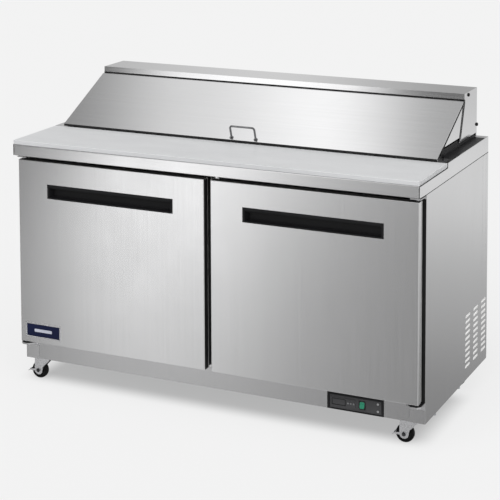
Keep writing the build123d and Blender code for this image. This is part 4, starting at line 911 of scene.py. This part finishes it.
# soft panels, each a few (direction, brightness) pairs: a dark gap, a bright panel, and its fall-off
LEFT = [(-1.0, 0.75), (-0.80, 0.50), (-0.66, 0.15)]
RIGHT = [(-0.12, 0.6), (0.02, 0.95), (0.14, 0.6), (0.26, 0.4), (0.45, 0.9), (0.62, 0.55), (1.0, 0.75)]
FASCIA = [(-0.50, 0.05), (-0.45, 1.3), (-0.36, 1.4), (-0.32, 0.1)]
UPPER = [(-0.53, 0.15), (-0.48, 1.8), (-0.36, 0.4), (-0.26, 0.3)]
LOWER = [(-0.54, 0.15), (-0.45, 0.75), (-0.35, 0.3), (-0.25, 0.2)]
OVER = [(-0.52, 0.3), (-0.45, 0.85), (-0.37, 1.2), (-0.30, 0.45)]
BEHIND = [(-0.54, 0.5), (-0.40, 0.7), (-0.29, 0.4)]

front = blend_rows(smooth(Z, -0.345, -0.235), row(X, LEFT + LOWER + RIGHT), row(X, LEFT + UPPER + RIGHT))
front = blend_rows(smooth(Z, -0.207, -0.185), front, row(X, LEFT + FASCIA + RIGHT))
over = row(X, LEFT + OVER + RIGHT)
behind_up = row(X, LEFT + BEHIND + RIGHT)
behind_low = row(Z, [(-1.0, 0.2), (-0.36, 0.25), (-0.30, 0.45), (-0.23, 0.8), (-0.18, 0.65), (1.0, 0.6)])
behind = blend_rows(smooth(Z, -0.05, 0.10), behind_low, behind_up)
field = blend_rows(smooth(Y, -0.15, 0.15), front, behind)
field = blend_rows(smooth(Z, 0.40, 0.62), field, over)
# straight down there is only the pale floor
field_low = row(Z, [(-1.0, 0.62), (-0.75, 0.50), (-0.45, 0.30), (0.0, 0.30)])
field = blend_rows(smooth(Z, -0.40, -0.62), field, field_low)
sepc = wt.nodes.new("ShaderNodeSeparateColor")
wt.links.new(field, sepc.inputs[0])
lift = wt.nodes.new("ShaderNodeMath")
lift.operation = "MULTIPLY"
wt.links.new(sepc.outputs[0], lift.inputs[0])
lift.inputs[1].default_value = TOP_E
lp = wt.nodes.new("ShaderNodeLightPath")


def pick(flag, a, b):
    nd = wt.nodes.new("ShaderNodeMix")
    nd.data_type = "FLOAT"
    wt.links.new(flag, nd.inputs["Factor"])
    for key, v in (("A", a), ("B", b)):
        if hasattr(v, "links"):
            wt.links.new(v, nd.inputs[key])
        else:
            nd.inputs[key].default_value = v
    return nd.outputs["Result"]


even = pick(lp.outputs["Is Camera Ray"], 0.38, 0.95)
wt.links.new(pick(lp.outputs["Is Glossy Ray"], even, lift.outputs[0]), bg.inputs["Strength"])
bg.inputs["Color"].default_value = (1, 1, 1, 1)
wt.links.new(bg.outputs[0], wo.inputs[0])


def sun(name, direction, energy, angle):
    li = bpy.data.lights.new(name, "SUN")
    li.energy = energy
    li.angle = math.radians(angle)
    o = bpy.data.objects.new(name, li)
    coll.objects.link(o)
    o.rotation_mode = "QUATERNION"
    o.rotation_quaternion = Vector(direction).to_track_quat("-Z", "Y")
    o.visible_glossy = False
    return o


sun("key_front", (-0.10, 0.62, -0.80), 1.9, 62)
sun("fill_right", (-0.9, 0.25, -0.40), 0.40, 60)

# camera: a long lens with rise, standing to the right of the table
YAW, PITCH, ROLL = math.radians(25.183), math.radians(-5.095), math.radians(-0.204)
SPOT = Vector((2.39705, -4.81887 + Y0, 2.13806))
fwd = Vector((-math.sin(YAW) * math.cos(PITCH), math.cos(YAW) * math.cos(PITCH), math.sin(PITCH)))
right = Vector((math.cos(YAW), math.sin(YAW), 0))
up = right.cross(fwd)
r2 = right * math.cos(ROLL) + up * math.sin(ROLL)
u2 = -right * math.sin(ROLL) + up * math.cos(ROLL)
cd = bpy.data.cameras.new("camera")
cd.sensor_width = 36
cd.lens = 36 * 1576.147 / 500
cd.clip_end = 300
cam = bpy.data.objects.new("camera", cd)
coll.objects.link(cam)
cam.rotation_mode = "QUATERNION"
cam.rotation_quaternion = Matrix((r2, u2, -fwd)).transposed().to_quaternion()
cam.location = SPOT
scene.camera = cam


def rise(prop, value):
    """The lens rise holds only at this camera place, so that other angles stay centred."""
    d = cd.driver_add(prop).driver
    d.type = "SCRIPTED"
    for name, chan in (("x", "LOC_X"), ("y", "LOC_Y"), ("z", "LOC_Z")):
        v = d.variables.new()
        v.name = name
        v.type = "TRANSFORMS"
        v.targets[0].id = cam
        v.targets[0].transform_type = chan
        v.targets[0].transform_space = "WORLD_SPACE"
    d.expression = f"{value:.5f} if abs(x-{SPOT.x:.4f})+abs(y-{SPOT.y:.4f})+abs(z-{SPOT.z:.4f})<0.02 else 0.0"


rise("shift_x", 0.00722)
rise("shift_y", -0.60821)

scene.view_settings.view_transform = "Standard"
scene.view_settings.look = "None"
scene.view_settings.exposure = 0.0
scene.view_settings.gamma = 1.0
